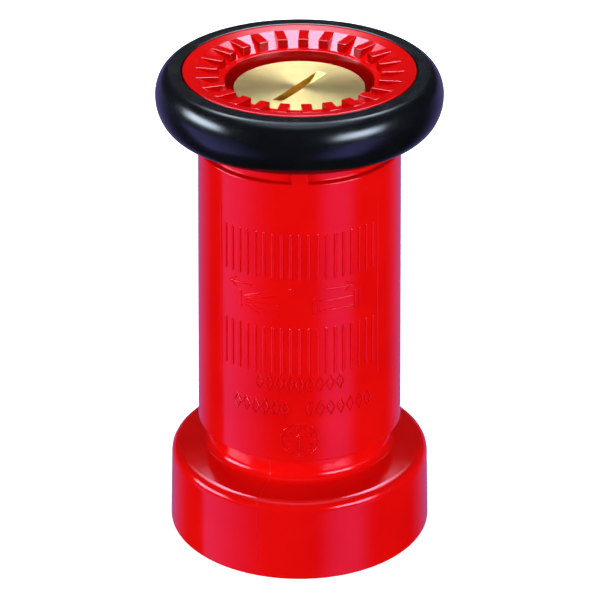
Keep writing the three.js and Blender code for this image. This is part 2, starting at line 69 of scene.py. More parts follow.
TURN_STEPS = 192  # facets round every turned or moulded ring
THREAD_STEPS = 96  # facets round one turn of a thread
FILLET_STEPS = 5
SHARP_ANGLE = 32.0  # edges that turn more than this are shaded sharp
CLEARANCE = 0.3  # room round a piece in its seat, and beside a piece in its groove
SINK = 0.3  # depth by which a raised detail is rooted in the wall behind it

# Inlet body
COLLAR_EDGE = (37.32, 24.41)  # where the collar's side and its sloping shoulder would meet
SHOULDER_FILLET = 3.2
NECK_RADIUS = 25.5
NECK_FOOT = 25.98
NECK_FILLET = 3.0
NECK_TOP = 47.0
CAM_ROOT = 23.6
CAM_TOP = 67.6
TUBE_RADIUS = 22.8
RING_GROOVE = (20.9, 3.2)  # radius of its floor, and width
RING_CENTRE = 22.0
RING_SECTION = 0.95
LIP_RADIUS_INSIDE = 17.2
SPIDER_SEAT = 104.0
CLIP_GROOVE_RADIUS = 20.3
WATERWAY = 19.1
REAR_WATERWAY = 20.6
WATERWAY_TAPER = (46.0, 52.0)
GASKET_SEAT = 20.3
GASKET_RECESS = 26.0
GASKET_BORE = 20.5
GASKET_GROOVES = 3
GASKET_GROOVE = (0.35, 0.3)  # half width and depth
SOCKET_DEPTH = 15.6
SEAM_ANGLE = -19.0
SEAM_TOP = 46.0
SEAM_END = 0.6  # how far it stops before both ends of its path
SEAM_STEPS = 90

# Hose thread, 1-1/2 inch at 9 threads per inch
HOSE_MINOR = 23.75
HOSE_MAJOR = 25.4
HOSE_PITCH = 25.4 / 9
HOSE_THREAD = (2.9, 13.9)
HOSE_RIDGE = (0.33, 0.45, 1.22)  # half widths of the ridge at its crest, below it and at its foot
HOSE_CHAMFER = 1.6  # height at which the thread's chamfers end, from either end of the socket
HOSE_STOP = (HOSE_MINOR + 0.4, 0.9)  # land behind the thread: radius and length
HOSE_MOUTH = (HOSE_MAJOR + 0.6, 0.5)  # recess before the thread: radius and depth
HOSE_START = 30.0

# Fast thread between the tube and the barrel
CAM_STARTS = 3
CAM_LEAD = 12.0
CAM_PITCH = CAM_LEAD / CAM_STARTS
CAM_CREST = 24.9
CAM_HALF_WIDTH = 0.6
CAM_FLANK = 0.385
CAM_RUNOUT = 1.2  # plain tube below and above the thread
BARREL_CAM_BORE = 25.2
BARREL_CAM_CREST = 23.95
BARREL_CAM = (53.5, 62.5)
BARREL_CAM_STEP = 52.3  # height at which the bore narrows for the thread

# Spider, which carries the stem
HUB_RADIUS = 6.8
HUB_SET_BACK = 0.4
VANE_COUNT = 3
VANE_HALF = (1.1, 2.85)  # half thickness and half height
VANE_RADII = (5.8, 6.8, 8.0, 12.0, 16.0, 17.2, 18.0)
VANE_FLARE = 0.35
CLIP_RADIUS_INSIDE = 18.0
CLIP_EAR_RADIUS = 15.8
CLIP_EAR_ANGLE = 9.0
CLIP_HALF_OPENING = 9.0
CLIP_HOLE = (17.6, 0.8)  # radius at which it stands, and its own

# Nuts and washers
RETAINER_NUT = (14.0, 5.3)  # across the flats, and radius of the bore
LOCK_NUT = (13.0, 4.0)
LOCK_WASHER_SHARE = 0.72  # thickness as a share of the washer's free height
LOCK_WASHER_TURN = (97.0, 346.0)  # where it starts, and how far it goes round

# Stem and head
HEAD_THICKNESS = 1.82
BOSS_RADIUS = 8.7
BOSS_HEIGHT = 2.3
STEM_RADIUS = 5.0
STEM_THREAD_RADIUS = 3.7
STEM_THREAD_ROOT = 3.25
STEM_THREAD_PITCH = 1.0
STEM_THREAD_TOP = 97.5
HEAD_RINGS = (6.0, 12.0)  # rings of facets in the head's face, inwards from its rim
SLOT_LENGTH = 22.5
SLOT_WIDTH = 2.8
SLOT_DEPTH = 2.6
SLOT_ANGLE = 148.0

# Barrel
BARREL_REAR_RADIUS = 29.43
BARREL_SHOULDER = 120.1
BARREL_SHOULDER_RADIUS = 28.3
BARREL_BORE = 26.0
SEAL_BORE = 23.1
SEAL_BORE_SPAN = (79.0, 117.4)
SEAT_HEIGHT = 126.3
ORIFICE_RADIUS = 15.0
WIPER_GROOVE = (38.0, 41.0, 27.6)
BUMPER_GROOVE = 26.6
FLANGE_UNDERSIDE = 137.8
FLANGE_RADIUS = 32.28
LIP_RADIUS = 31.4  # inner edge of the red lip's flat top
THROAT_RADIUS = 20.66
THROAT_DRAFT = 0.9
THROAT_HEIGHT = 138.85
SEAT_THICKNESS = 2.3
CONE_FOOT = 22.3
CONE_TOP = (28.9, 141.65)
TOOTH_COUNT = 25
TOOTH_WIDTH = 2.9
TOOTH_SPAN = (22.5, 28.9)
TOOTH_TOP = (141.5, 141.75)
TOOTH_ROOT = 0.4  # depth below the throat's edge
TOOTH_BEVEL = 0.28
FIRST_TOOTH = 177.4
LUG_COUNT = 4
LUG_WIDTH = 4.2
LUG_TOP = 131.0
LUG_ROOT = (0.6, 1.6)  # depth behind the groove's floor, and below the barrel's shoulder
LUG_BEVEL = 0.3

# Marks moulded on the barrel. Angles are in degrees.
RIB_PITCH = 5.0
RIB_REACH = 45.0
UPPER_RIBS = (91.6, 104.8)
LOWER_RIBS = (62.1, 76.0)
PANEL_EDGE = 49.0
PANEL_SPAN = (58.0, 110.0)
ARROW_HEIGHT = 88.2
OPEN_ARROW = (-27.5, -42.0)  # tail and tip
CLOSED_ARROW = (14.0, 31.0)
ARROW_BARB = (2.2, 1.3)  # length along the arrow, and height
PIP = (-4.9, 0.3)  # its angle, and half height
SIGN_HEIGHT = 83.3
OPEN_SIGN = -34.5
CLOSED_SIGN = 8.5
CLOSED_STOPS = (32.5, 35.5)
MOUTH_HALF_HEIGHT = 2.3
MOUTH_GAP = 1.6
STOP_HALF_HEIGHT = 2.5
LONG_RAY = 9.5
LOZENGE_ROWS = (
    # middle height, and for each group its first and last angle and the count
    (58.9, ((-23.0, 23.0, 9),)),
    (51.0, ((-36.5, -8.0, 6), (6.0, 41.0, 7))),
)
LOZENGE_HALF = (1.05, 2.35)
DIAL_HEIGHT = 41.0
DIAL_RADIUS = 5.3
DIAL_NUMBERS = (21, 22, 23, 24, 25, 26)
DIAL_NUMBER_REACH = 3.8
DIAL_TICK = (4.3, 5.0)
DIAL_NEEDLE = (-2.3, 1.8)  # ends below and above the dial's middle
NEEDLE_BARB = (0.6, 1.2, 2.0)  # reach sideways, and heights of its foot and tip
DIGIT_SIZE = (0.6, 0.75)  # width, and height of its half
DIGIT_PITCH = 1.05
DIGIT_START = 0.85

# Half width and lift of each kind of raised line
SEAM_LINE = (0.17, 0.12)
RIB_LINE = (0.46, 0.34)
INSERT_LINE = (0.24, 0.17)
ARROW_LINE = (0.3, 0.28)
BARB_LINE = (0.28, 0.28)
SIGN_BAR_LINE = (0.45, 0.28)
RAY_LINE = (0.26, 0.26)
PIP_LINE = (0.3, 0.25)
LOZENGE_LINE = (0.28, 0.30)
DIAL_RING_LINE = (0.20, 0.26)
DIAL_FINE_LINE = (0.13, 0.20)
NEEDLE_LINE = (0.24, 0.28)
NEEDLE_BARB_LINE = (0.14, 0.18)
FLAT_TOP = 0.5  # share of a sign bar's width that is flat

# Bumper
BUMPER_WIDEST = 135.0
BUMPER_FLAT = 36.3  # outer edge of its flat top face
BUMPER_CROWN = (5.35, 7.35)  # reach of its upper quarter, outwards and upwards
BUMPER_BELLY = 6.3  # inward reach of its lower quarter


# ---------------- mesh helpers


def span(node):
    """Bottom, top and outer radius of a CAD node, in millimetres."""
    low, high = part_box(node)
    return low.z / MM, high.z / MM, high.x / MM


def polar(radius, degrees, height):
    """A point in millimetres, at an angle from the front of the nozzle."""
    angle = math.radians(degrees)
    return Vector((radius * math.sin(angle), -radius * math.cos(angle), height))


def rounded(corners):
    """Outline with rounded corners. A corner is (radius, height) or (radius, height, fillet)."""
    outline = []
    for index, corner in enumerate(corners):
        here = Vector(corner[:2])
        if len(corner) == 2:
            outline.append(here)
            continue
        fillet = corner[2]
        back = (Vector(corners[index - 1][:2]) - here).normalized()
        onward = (Vector(corners[(index + 1) % len(corners)][:2]) - here).normalized()
        half = back.angle(onward) / 2
        centre = here + (back + onward).normalized() * fillet / math.sin(half)
        first = here + back * fillet / math.tan(half) - centre
        last = here + onward * fillet / math.tan(half) - centre
        turn = first.angle(last)
        for step in range(FILLET_STEPS + 1):
            share = step / FILLET_STEPS
            spoke = first * math.sin((1 - share) * turn) + last * math.sin(share * turn)
            outline.append(centre + spoke / math.sin(turn))
    return outline


def arc(centre, reach, start, end, steps):
    """Points of an arc of an ellipse, whose two half axes are its reach."""
    (x, y), (wide, high) = centre, reach
    turns = [math.radians(start + (end - start) * step / steps) for step in range(steps + 1)]
    return [(x + wide * math.cos(turn), y + high * math.sin(turn)) for turn in turns]


def revolve(bm, outline, steps=TURN_STEPS):
    """Adds the solid that a closed (radius, height) outline sweeps round the axis."""
    rings = []
    for radius, height in outline:
        if radius < 1e-6:
            rings.append([bm.verts.new((0, 0, height * MM))] * steps)
            continue
        points = [polar(radius, 360 * i / steps, height) for i in range(steps)]
        rings.append([bm.verts.new(point * MM) for point in points])
    for ring, above in zip(rings, rings[1:] + rings[:1]):
        on_axis = ring[0] is ring[1] and above[0] is above[1]
        if on_axis:
            continue
        for i in range(steps):
            j = (i + 1) % steps
            corners = []
            for vert in (ring[i], ring[j], above[j], above[i]):
                if vert not in corners:
                    corners.append(vert)
            bm.faces.new(corners)


def skin(bm, rings, closed=False):
    """Adds the faces between rings of vertices that follow one another, and over open ends."""
    pairs = list(zip(rings, rings[1:]))
    if closed:
        pairs.append((rings[-1], rings[0]))
    count = len(rings[0])
    for ring, onward in pairs:
        for i in range(count):
            j = (i + 1) % count
            bm.faces.new((ring[i], ring[j], onward[j], onward[i]))
    if not closed:
        bm.faces.new(rings[0])
        bm.faces.new(rings[-1])


def sweep(bm, stations, section, closed=False):
    """Adds a bar with its (across, up) section at each (centre, across, up) station."""
    rings = []
    for centre, across, up in stations:
        rings.append([bm.verts.new((centre + across * s + up * h) * MM) for s, h in section])
    skin(bm, rings, closed)


def bead_section(half_width, lift, flat=0.0):
    """Section of a raised line: a half round, or a flat top with rounded shoulders."""
    points = [(-half_width, -SINK)]
    for across, up in arc((0, 0), (1, 1), 180, 0, 6):
        moved_out = 0.0 if abs(across) < 0.01 else math.copysign(flat, across)
        points.append((half_width * (moved_out + (1 - flat) * across), lift * up))
    points.append((half_width, -SINK))
    return points


def raised_line(bm, path, bead, flat=0.0, closed=False):
    """A raised line on the barrel, with rounded ends. bead is its half width and lift.

    The path is of (along, height) points on the unrolled barrel.
    """
    points = [Vector(p) for p in path]
    if not closed:
        reach = bead[0] * 0.9
        start = (points[0] - points[1]).normalized() * reach
        end = (points[-1] - points[-2]).normalized() * reach
        points = [points[0] + start] + points + [points[-1] + end]
    count = len(points)
    stations = []
    for index, point in enumerate(points):
        before = points[index - 1] if closed or index > 0 else point
        after = points[(index + 1) % count] if closed or index < count - 1 else point
        here, up = barrel_side(point.x, point.y)
        ahead = barrel_side(after.x, after.y)[0] - barrel_side(before.x, before.y)[0]
        across = ahead.cross(up).normalized()
        at_end = not closed and index in (0, count - 1)
        size = 0.35 if at_end else 1.0
        stations.append((here, across * size, up * size))
    sweep(bm, stations, bead_section(*bead, flat), closed)


def straight(start, end, pitch=1.2):
    """Points from start to end, close enough together to follow a round surface."""
    start, end = Vector(start), Vector(end)
    steps = max(1, math.ceil((end - start).length / pitch))
    return [start.lerp(end, i / steps) for i in range(steps + 1)]


def circle(centre, radius, steps):
    """Points round a circle, or the corners of a regular polygon."""
    return arc(centre, (radius, radius), 0, 360, steps)[:-1]


def helix(bm, profile, lead, bottom, top, start, taper=30.0):
    """A thread ridge. Its profile is (radius, half height) points, from its foot to its crest.

    It grows from nothing over the first taper degrees and fades over the last.
    """
    section = [(radius, -half) for radius, half in profile]
    section += [(radius, half) for radius, half in reversed(profile)]
    turns = (top - bottom) / lead
    steps = round(turns * THREAD_STEPS)
    root = profile[0][0]
    smallest = 0.05
    rings = []
    for step in range(steps + 1):
        turn = turns * step / steps
        degrees_in = 360 * min(turn, turns - turn)
        size = min(1.0, degrees_in / taper) if taper else 1.0
        size = max(size, smallest)
        ring = []
        for radius, height in section:
            reach = root + (radius - root) * size
            point = polar(reach, start + 360 * turn, bottom + lead * turn + height)
            ring.append(bm.verts.new(point * MM))
        rings.append(ring)
    skin(bm, rings)


def block(bm, corners, bevel):
    """A hexahedron with bevelled edges. Corners are the bottom four, then the top four, in turn."""
    verts = [bm.verts.new(corner * MM) for corner in corners]
    loops = ((3, 2, 1, 0), (4, 5, 6, 7), (0, 1, 5, 4), (1, 2, 6, 5), (2, 3, 7, 6), (3, 0, 4, 7))
    faces = [bm.faces.new([verts[i] for i in loop]) for loop in loops]
    edges = list({edge for face in faces for edge in face.edges})
    bmesh.ops.bevel(bm, geom=edges, offset=bevel * MM, segments=2, profile=0.5, affect="EDGES")


def radial_block(bm, degrees, radii, heights, width, bevel):
    """A block that points outwards. heights is (bottom, inner top, outer top)."""
    bottom, inner_top, outer_top = heights
    side = polar(1, degrees + 90, 0) * width / 2
    corners = []
    for tops in ((bottom, bottom), (inner_top, outer_top)):
        inner = polar(radii[0], degrees, tops[0])
        outer = polar(radii[1], degrees, tops[1])
        corners += [inner - side, outer - side, outer + side, inner + side]
    block(bm, corners, bevel)


def new_object(name, data):
    """An object of the scene."""
    obj = bpy.data.objects.new(name, data)
    bpy.context.scene.collection.objects.link(obj)
    return obj


def take_mesh(name, bm):
    """Turns a bmesh into a mesh."""
    mesh = bpy.data.meshes.new(name)
    bm.to_mesh(mesh)
    bm.free()
    return mesh


def mesh_object(name, bm):
    """Turns a bmesh into an object with smooth faces, sharp corners and even normals."""
    bmesh.ops.recalc_face_normals(bm, faces=bm.faces)
    for face in bm.faces:
        face.smooth = True
    limit = math.radians(SHARP_ANGLE)
    for edge in bm.edges:
        edge.smooth = edge.calc_face_angle(0.0) < limit
    obj = new_object(name, take_mesh(name, bm))
    normals = obj.modifiers.new("even_normals", "WEIGHTED_NORMAL")
    normals.keep_sharp = True
    normals.weight = 90
    return obj


def ring_object(name, outline):
    """An object turned from one outline."""
    bm = bmesh.new()
    revolve(bm, outline)
    return mesh_object(name, bm)


def plate_mesh(outlines, bottom, top, bevel):
    """A flat plate with bevelled edges, from an outline and its holes, as a bmesh."""
    curve = bpy.data.curves.new("plate", "CURVE")
    curve.dimensions = "2D"
    curve.fill_mode = "BOTH"
    curve.extrude = ((top - bottom) / 2 - bevel) * MM
    curve.bevel_depth = bevel * MM
    curve.bevel_resolution = 2
    curve.offset = -bevel * MM
    for outline in outlines:
        spline = curve.splines.new("POLY")
        spline.points.add(len(outline) - 1)
        for point, (x, y) in zip(spline.points, outline):
            point.co = (x * MM, y * MM, 0, 1)
        spline.use_cyclic_u = True
    holder = new_object("plate", curve)
    mesh = bpy.data.meshes.new_from_object(holder)
    bm = bmesh.new()
    bm.from_mesh(mesh)
    bmesh.ops.remove_doubles(bm, verts=bm.verts, dist=1e-6)
    bmesh.ops.translate(bm, verts=bm.verts, vec=(0, 0, (top + bottom) / 2 * MM))
    bpy.data.objects.remove(holder)
    bpy.data.curves.remove(curve)
    bpy.data.meshes.remove(mesh)
    return bm


def combine(obj, bm, operation):
    """Cuts an object with, or keeps only what it shares with, the solid in a bmesh."""
    bmesh.ops.recalc_face_normals(bm, faces=bm.faces)
    mesh = take_mesh("tool", bm)
    tool = new_object("tool", mesh)
    obj.modifiers.remove(obj.modifiers["even_normals"])
    boolean = obj.modifiers.new("boolean", "BOOLEAN")
    boolean.operation = operation
    boolean.solver = "EXACT"
    boolean.object = tool
    bpy.context.view_layer.update()
    result = bmesh.new()
    result.from_object(obj, bpy.context.evaluated_depsgraph_get())
    name = obj.name
    bpy.data.objects.remove(obj)
    bpy.data.objects.remove(tool)
    bpy.data.meshes.remove(mesh)
    return mesh_object(name, result)


# ---------------- node helpers


class Graph:
    """Short way to write a node tree. Values are numbers, colours or the sockets of other nodes."""

    def __init__(self, tree):
        self.tree = tree
        tree.nodes.clear()

    def add(self, kind, inputs=None, **settings):
        node = self.tree.nodes.new(kind)
        for key, value in settings.items():
            setattr(node, key, value)
        for key, value in (inputs or {}).items():
            self.feed(node.inputs[key], value)
        return node

    def feed(self, socket, value):
        if isinstance(value, bpy.types.NodeSocket):
            self.tree.links.new(value, socket)
        else:
            socket.default_value = value

    def math(self, operation, *values):
        node = self.add("ShaderNodeMath", operation=operation)
        for socket, value in zip(node.inputs, values):
            self.feed(socket, value)
        return node.outputs[0]

    def remap(self, value, low, high, out_low, out_high, smooth=False):
        style = "SMOOTHSTEP" if smooth else "LINEAR"
        inputs = {"Value": value, "From Min": low, "From Max": high}
        inputs.update({"To Min": out_low, "To Max": out_high})
        return self.add("ShaderNodeMapRange", inputs, interpolation_type=style).outputs["Result"]

    def noise(self, vector, scale, detail, roughness=0.5):
        inputs = {"Vector": vector, "Scale": scale, "Detail": detail, "Roughness": roughness}
        return self.add("ShaderNodeTexNoise", inputs).outputs["Fac"]

    def mix(self, share, first, second):
        """Mixes two colours. Blender names the sockets twice, so they are found by place."""
        node = self.add("ShaderNodeMix", data_type="RGBA")
        for place, value in ((0, share), (6, first), (7, second)):
            self.feed(node.inputs[place], value)
        return node.outputs[2]

    def bump(self, height, strength, distance_mm, normal=None):
        inputs = {"Height": height, "Strength": strength, "Distance": distance_mm * MM}
        if normal is not None:
            inputs["Normal"] = normal
        return self.add("ShaderNodeBump", inputs).outputs["Normal"]


class Paint(Graph):
    """Node tree of a material: one shader, fed from patterns in object coordinates, in metres."""

    def __init__(self, name):
        self.material = bpy.data.materials.new(name)
        self.material.use_nodes = True
        super().__init__(self.material.node_tree)
        output = self.add("ShaderNodeOutputMaterial")
        self.shader = self.add("ShaderNodeBsdfPrincipled")
        self.feed(output.inputs["Surface"], self.shader.outputs["BSDF"])
        self.place = self.add("ShaderNodeTexCoord").outputs["Object"]

    def pattern(self, scale, detail, roughness=0.5):
        return self.noise(self.place, scale, detail, roughness)

    def colour(self, pattern, low, high, first, second):
        """Goes from the first colour to the second as the pattern goes from low to high."""
        tone = self.remap(pattern, low, high, 0.0, 1.0)
        self.set(Base_Color=self.mix(tone, first, second))

    def roughness(self, pattern, smoothest, roughest):
        self.set(Roughness=self.remap(pattern, 0.3, 0.7, smoothest, roughest))

    def set(self, **values):
        """Feeds inputs of the shader, whose names are written with _ for a space."""
        for name, value in values.items():
            self.feed(self.shader.inputs[name.replace("_", " ")], value)


# ---------------- materials


def red_plastic():
    """Glossy moulded plastic: slow colour drift, faint orange peel and fine handling marks."""
    paint = Paint("red_plastic")
    light_red = (0.80, 0.0035, 0.0030, 1)
    deep_red = (0.73, 0.0022, 0.0024, 1)
    paint.colour(paint.pattern(38.0, 3.0), 0.35, 0.65, light_red, deep_red)
    paint.roughness(paint.pattern(160.0, 4.0, 0.6), 0.10, 0.17)
    peel = paint.bump(paint.pattern(420.0, 2.0), 0.10, 0.12)
    grain = paint.bump(paint.pattern(2600.0, 1.0), 0.05, 0.03, peel)
    paint.set(Normal=grain, IOR=1.5, Specular_Tint=(1.0, 0.62, 0.95, 1))
    return paint.material


def black_rubber():
    """Satin moulded rubber with a fine grain and a trace of bloom."""
    paint = Paint("black_rubber")
    black = (0.0025, 0.0032, 0.0045, 1)
    grey = (0.0050, 0.0060, 0.0080, 1)
    paint.colour(paint.pattern(55.0, 4.0, 0.6), 0.35, 0.7, black, grey)
    paint.roughness(paint.pattern(240.0, 3.0), 0.18, 0.24)
    grain = paint.bump(paint.pattern(3200.0, 2.0), 0.18, 0.05)
    paint.set(Normal=grain, IOR=1.65, Specular_Tint=(0.78, 0.90, 1.0, 1))
    return paint.material


def turned_brass():
    """Lathe-turned brass: concentric tool marks round the axis, and a slight tarnish."""
    paint = Paint("turned_brass")
    bright = (0.43, 0.355, 0.16, 1)
    dull = (0.33, 0.275, 0.115, 1)
    paint.colour(paint.pattern(90.0, 4.0, 0.6), 0.35, 0.7, bright, dull)
    parts = paint.add("ShaderNodeSeparateXYZ", {"Vector": paint.place})
    squares = [paint.math("MULTIPLY", parts.outputs[axis], parts.outputs[axis]) for axis in "XY"]
    radius = paint.math("SQRT", paint.math("ADD", *squares))
    rings = paint.add("ShaderNodeCombineXYZ", {"X": radius})
    marks = paint.noise(rings.outputs["Vector"], 5200.0, 3.0, 0.7)
    paint.roughness(marks, 0.36, 0.48)
    tangent = paint.add("ShaderNodeTangent", direction_type="RADIAL", axis="Z")
    paint.set(Normal=paint.bump(marks, 0.30, 0.02), Tangent=tangent.outputs["Tangent"])
    paint.set(Metallic=1.0, Anisotropic=0.55, Anisotropic_Rotation=0.25)
    return paint.material


def sawn_brass():
    """Rough brass in the driver slot, with the saw's marks along it; its brown colours are painted
    shade of the narrow slot.
    """
    paint = Paint("sawn_brass")
    turned = paint.add("ShaderNodeMapping", {"Vector": paint.place, "Scale": (8.0, 1.0, 8.0)})
    turned.inputs["Rotation"].default_value = (0, 0, math.radians(SLOT_ANGLE))
    marks = paint.noise(turned.outputs["Vector"], 500.0, 4.0, 0.6)
    # Brown and gold tones that stand in for the shade inside the slot: painted shade, mixed along
    # the saw's marks.
    painted_shade_brown = (0.42, 0.24, 0.045, 1)
    gold = (0.72, 0.49, 0.13, 1)
    paint.colour(marks, 0.35, 0.65, painted_shade_brown, gold)
    paint.roughness(marks, 0.40, 0.55)
    paint.set(Normal=paint.bump(marks, 0.4, 0.05), Metallic=1.0)
    return paint.material


def cast_brass():
    """Plain brass of the parts inside, duller and slightly grainy."""
    paint = Paint("cast_brass")
    patches = paint.pattern(120.0, 5.0, 0.65)
    bright = (0.78, 0.62, 0.34, 1)
    dull = (0.52, 0.38, 0.18, 1)
    paint.colour(patches, 0.35, 0.7, bright, dull)
    paint.roughness(patches, 0.28, 0.42)
    paint.set(Normal=paint.bump(paint.pattern(1400.0, 3.0), 0.2, 0.04), Metallic=1.0)
    return paint.material


def stainless_steel():
    """Bright spring steel with fine rolled grain."""
    paint = Paint("stainless_steel")
    stretch = paint.add("ShaderNodeMapping", {"Vector": paint.place, "Scale": (1.0, 9.0, 9.0)})
    grain = paint.noise(stretch.outputs["Vector"], 700.0, 4.0, 0.6)
    pale = (0.62, 0.63, 0.65, 1)
    grey = (0.48, 0.49, 0.51, 1)
    paint.colour(grain, 0.3, 0.7, pale, grey)
    paint.roughness(grain, 0.22, 0.36)
    paint.set(Normal=paint.bump(grain, 0.12, 0.02), Metallic=1.0)
    return paint.material


def floor_paint():
    """Matt white studio floor."""
    paint = Paint("studio_floor")
    white = (0.93, 0.93, 0.93, 1)
    near_white = (0.91, 0.91, 0.915, 1)
    paint.set(Base_Color=paint.mix(paint.pattern(3.0, 2.0), white, near_white), Roughness=0.9)
    paint.set(Emission_Color=(1, 1, 1, 1), Emission_Strength=FLOOR_GLOW)
    return paint.material


# ---------------- inlet body


def body_outline():
    """Closed outline of the inlet body. It starts at the collar's foot and goes up the outside."""
    bottom, top, collar_radius = span("inlet_body")
    clip_bottom = span("spider_clip")[0] - CLEARANCE
    clip_top = span("spider_clip")[1] + CLEARANCE
    stop_radius, stop_length = HOSE_STOP
    mouth_radius, mouth_depth = HOSE_MOUTH
    outside = [
        (collar_radius, bottom, 0.6),
        (*COLLAR_EDGE, SHOULDER_FILLET),
        (NECK_RADIUS, NECK_FOOT, NECK_FILLET),
        (NECK_RADIUS, NECK_TOP, 0.5),
        (CAM_ROOT, NECK_TOP),
        (CAM_ROOT, CAM_TOP, 0.3),
        (TUBE_RADIUS, CAM_TOP + 1.0),
    ]
    groove_floor, width = RING_GROOVE
    for ring in ("rear_o_ring", "front_o_ring"):
        low, high, _ = span(ring)
        groove_bottom = (low + high) / 2 - width / 2
        groove_top = (low + high) / 2 + width / 2
        outside += [
            (TUBE_RADIUS, groove_bottom, 0.15),
            (groove_floor, groove_bottom, 0.3),
            (groove_floor, groove_top, 0.3),
            (TUBE_RADIUS, groove_top, 0.15),
        ]
    inside = [
        (TUBE_RADIUS, top, 0.9),
        (LIP_RADIUS_INSIDE, top, 0.6),
        (LIP_RADIUS_INSIDE, SPIDER_SEAT, 0.2),
        (WATERWAY, SPIDER_SEAT, 0.2),
        (WATERWAY, clip_top),
        (CLIP_GROOVE_RADIUS, clip_top),
        (CLIP_GROOVE_RADIUS, clip_bottom),
        (WATERWAY, clip_bottom, 0.15),
        (WATERWAY, WATERWAY_TAPER[1], 1.0),
        (REAR_WATERWAY, WATERWAY_TAPER[0], 1.0),
        (REAR_WATERWAY, GASKET_SEAT, 0.4),
        (GASKET_RECESS, GASKET_SEAT, 0.3),
        (GASKET_RECESS, SOCKET_DEPTH, 0.2),
        (stop_radius, SOCKET_DEPTH, 0.3),
        (stop_radius, SOCKET_DEPTH - stop_length, 0.3),
        (HOSE_MAJOR, SOCKET_DEPTH - HOSE_CHAMFER),
        (HOSE_MAJOR, bottom + HOSE_CHAMFER),
        (mouth_radius, bottom + mouth_depth, 0.3),
        (mouth_radius, bottom),
    ]
    return rounded(outside + inside)


def cam_ridges(bm, root, crest, heights, phase):
    """The starts of the fast thread, as ridges that stand on radius root."""
    foot = root + (SINK if root > crest else -SINK)
    foot_half = CAM_HALF_WIDTH + CAM_FLANK * abs(foot - crest)
    profile = [(foot, foot_half), (crest, CAM_HALF_WIDTH)]
    bottom, top = heights
    for index in range(CAM_STARTS):
        # A helix at angle a from its zero stands at phase + lead * a / 360. The CAD counts its
        # angles from +X, which is 90 degrees on from the front.
        zero = 90 + 360 * index / CAM_STARTS
        start = zero + 360 * (bottom - phase) / CAM_LEAD
        helix(bm, profile, CAM_LEAD, bottom, top, start, taper=0)


def mould_seam(bm, outline, degrees):
    """A fine parting line up the outside of a turned outline."""
    lengths = [0.0]
    for first, second in zip(outline, outline[1:]):
        lengths.append(lengths[-1] + (second - first).length)
    across = polar(1, degrees + 90, 0)
    stations = []
    index = 0
    for step in range(SEAM_STEPS + 1):
        distance = SEAM_END + (lengths[-1] - 2 * SEAM_END) * step / SEAM_STEPS
        while lengths[index + 1] < distance:
            index += 1
        start, end = outline[index], outline[index + 1]
        share = (distance - lengths[index]) / (lengths[index + 1] - lengths[index])
        point = start.lerp(end, share)
        run = (end - start).normalized()
        up = polar(run.y, degrees, -run.x)
        stations.append((polar(point.x, degrees, point.y), across, up))
    sweep(bm, stations, bead_section(*SEAM_LINE))


def hose_thread(bm):
    """Ridge of the female hose thread, with its crest slightly rounded."""
    crest_half, edge_half, foot_half = HOSE_RIDGE
    edge = HOSE_MINOR + 0.1
    profile = [(HOSE_MAJOR + SINK, foot_half), (edge, edge_half), (HOSE_MINOR, crest_half)]
    helix(bm, profile, HOSE_PITCH, *HOSE_THREAD, HOSE_START)


def inlet_body():
    """Collar, neck and tube in one moulding, with both threads and the mould's parting lines."""
    bm = bmesh.new()
    outline = body_outline()
    revolve(bm, outline)
    # The seams pass the outline's first three corners: collar's foot, shoulder and neck's foot.
    seam_path = outline[: 3 * (FILLET_STEPS + 1)] + [Vector((NECK_RADIUS, SEAM_TOP))]
    for degrees in (SEAM_ANGLE, SEAM_ANGLE + 180):
        mould_seam(bm, seam_path, degrees)
    hose_thread(bm)
    heights = (NECK_TOP + CAM_RUNOUT, CAM_TOP - CAM_RUNOUT)
    cam_ridges(bm, CAM_ROOT, CAM_CREST, heights, 0.0)
    return mesh_object("inlet_body_fine", bm)


# ---------------- seals


def hose_gasket():
    """Flat washer with sealing grooves in its lower face."""
    bottom, top, outer = span("hose_gasket")
    half_width, depth = GASKET_GROOVE
    corners = [(GASKET_BORE, top, 0.3), (GASKET_BORE, bottom, 0.4)]
    pitch = (outer - GASKET_BORE) / (GASKET_GROOVES + 1)
    for index in range(GASKET_GROOVES):
        middle = GASKET_BORE + pitch * (index + 1)
        corners.append((middle - half_width, bottom))
        corners.append((middle, bottom + depth))
        corners.append((middle + half_width, bottom))
    corners += [(outer, bottom, 0.4), (outer, top, 0.3)]
    return ring_object("hose_gasket_fine", rounded(corners))


def o_ring(node):
    """Round seal in one of the tube's grooves."""
    bottom, top, _ = span(node)
    outline = circle((RING_CENTRE, (bottom + top) / 2), RING_SECTION, 28)
    return ring_object(node + "_fine", outline)


def wiper_ring():
    """Ring with one blunt lip that rubs along the neck."""
    bottom, top, outer = span("wiper_ring")
    lip = NECK_RADIUS + 0.2
    lip_half = 0.35
    bore = lip + 0.55
    middle = (bottom + top) / 2
    corners = [
        (outer, bottom, 0.25),
        (outer, top, 0.25),
        (bore, top, 0.25),
        (lip, middle + lip_half, 0.2),
        (lip, middle - lip_half, 0.2),
        (bore, bottom, 0.25),
    ]
    return ring_object("wiper_ring_fine", rounded(corners))


def washer(node, bore, outer_fillet):
    """A flat ring. Its lower outer edge has its own fillet."""
    bottom, top, outer = span(node)
    corners = [(bore, bottom, 0.2), (outer, bottom, outer_fillet)]
    corners += [(outer, top, 0.2), (bore, top, 0.2)]
    return ring_object(node + "_fine", rounded(corners))


# ---------------- spider and its fasteners


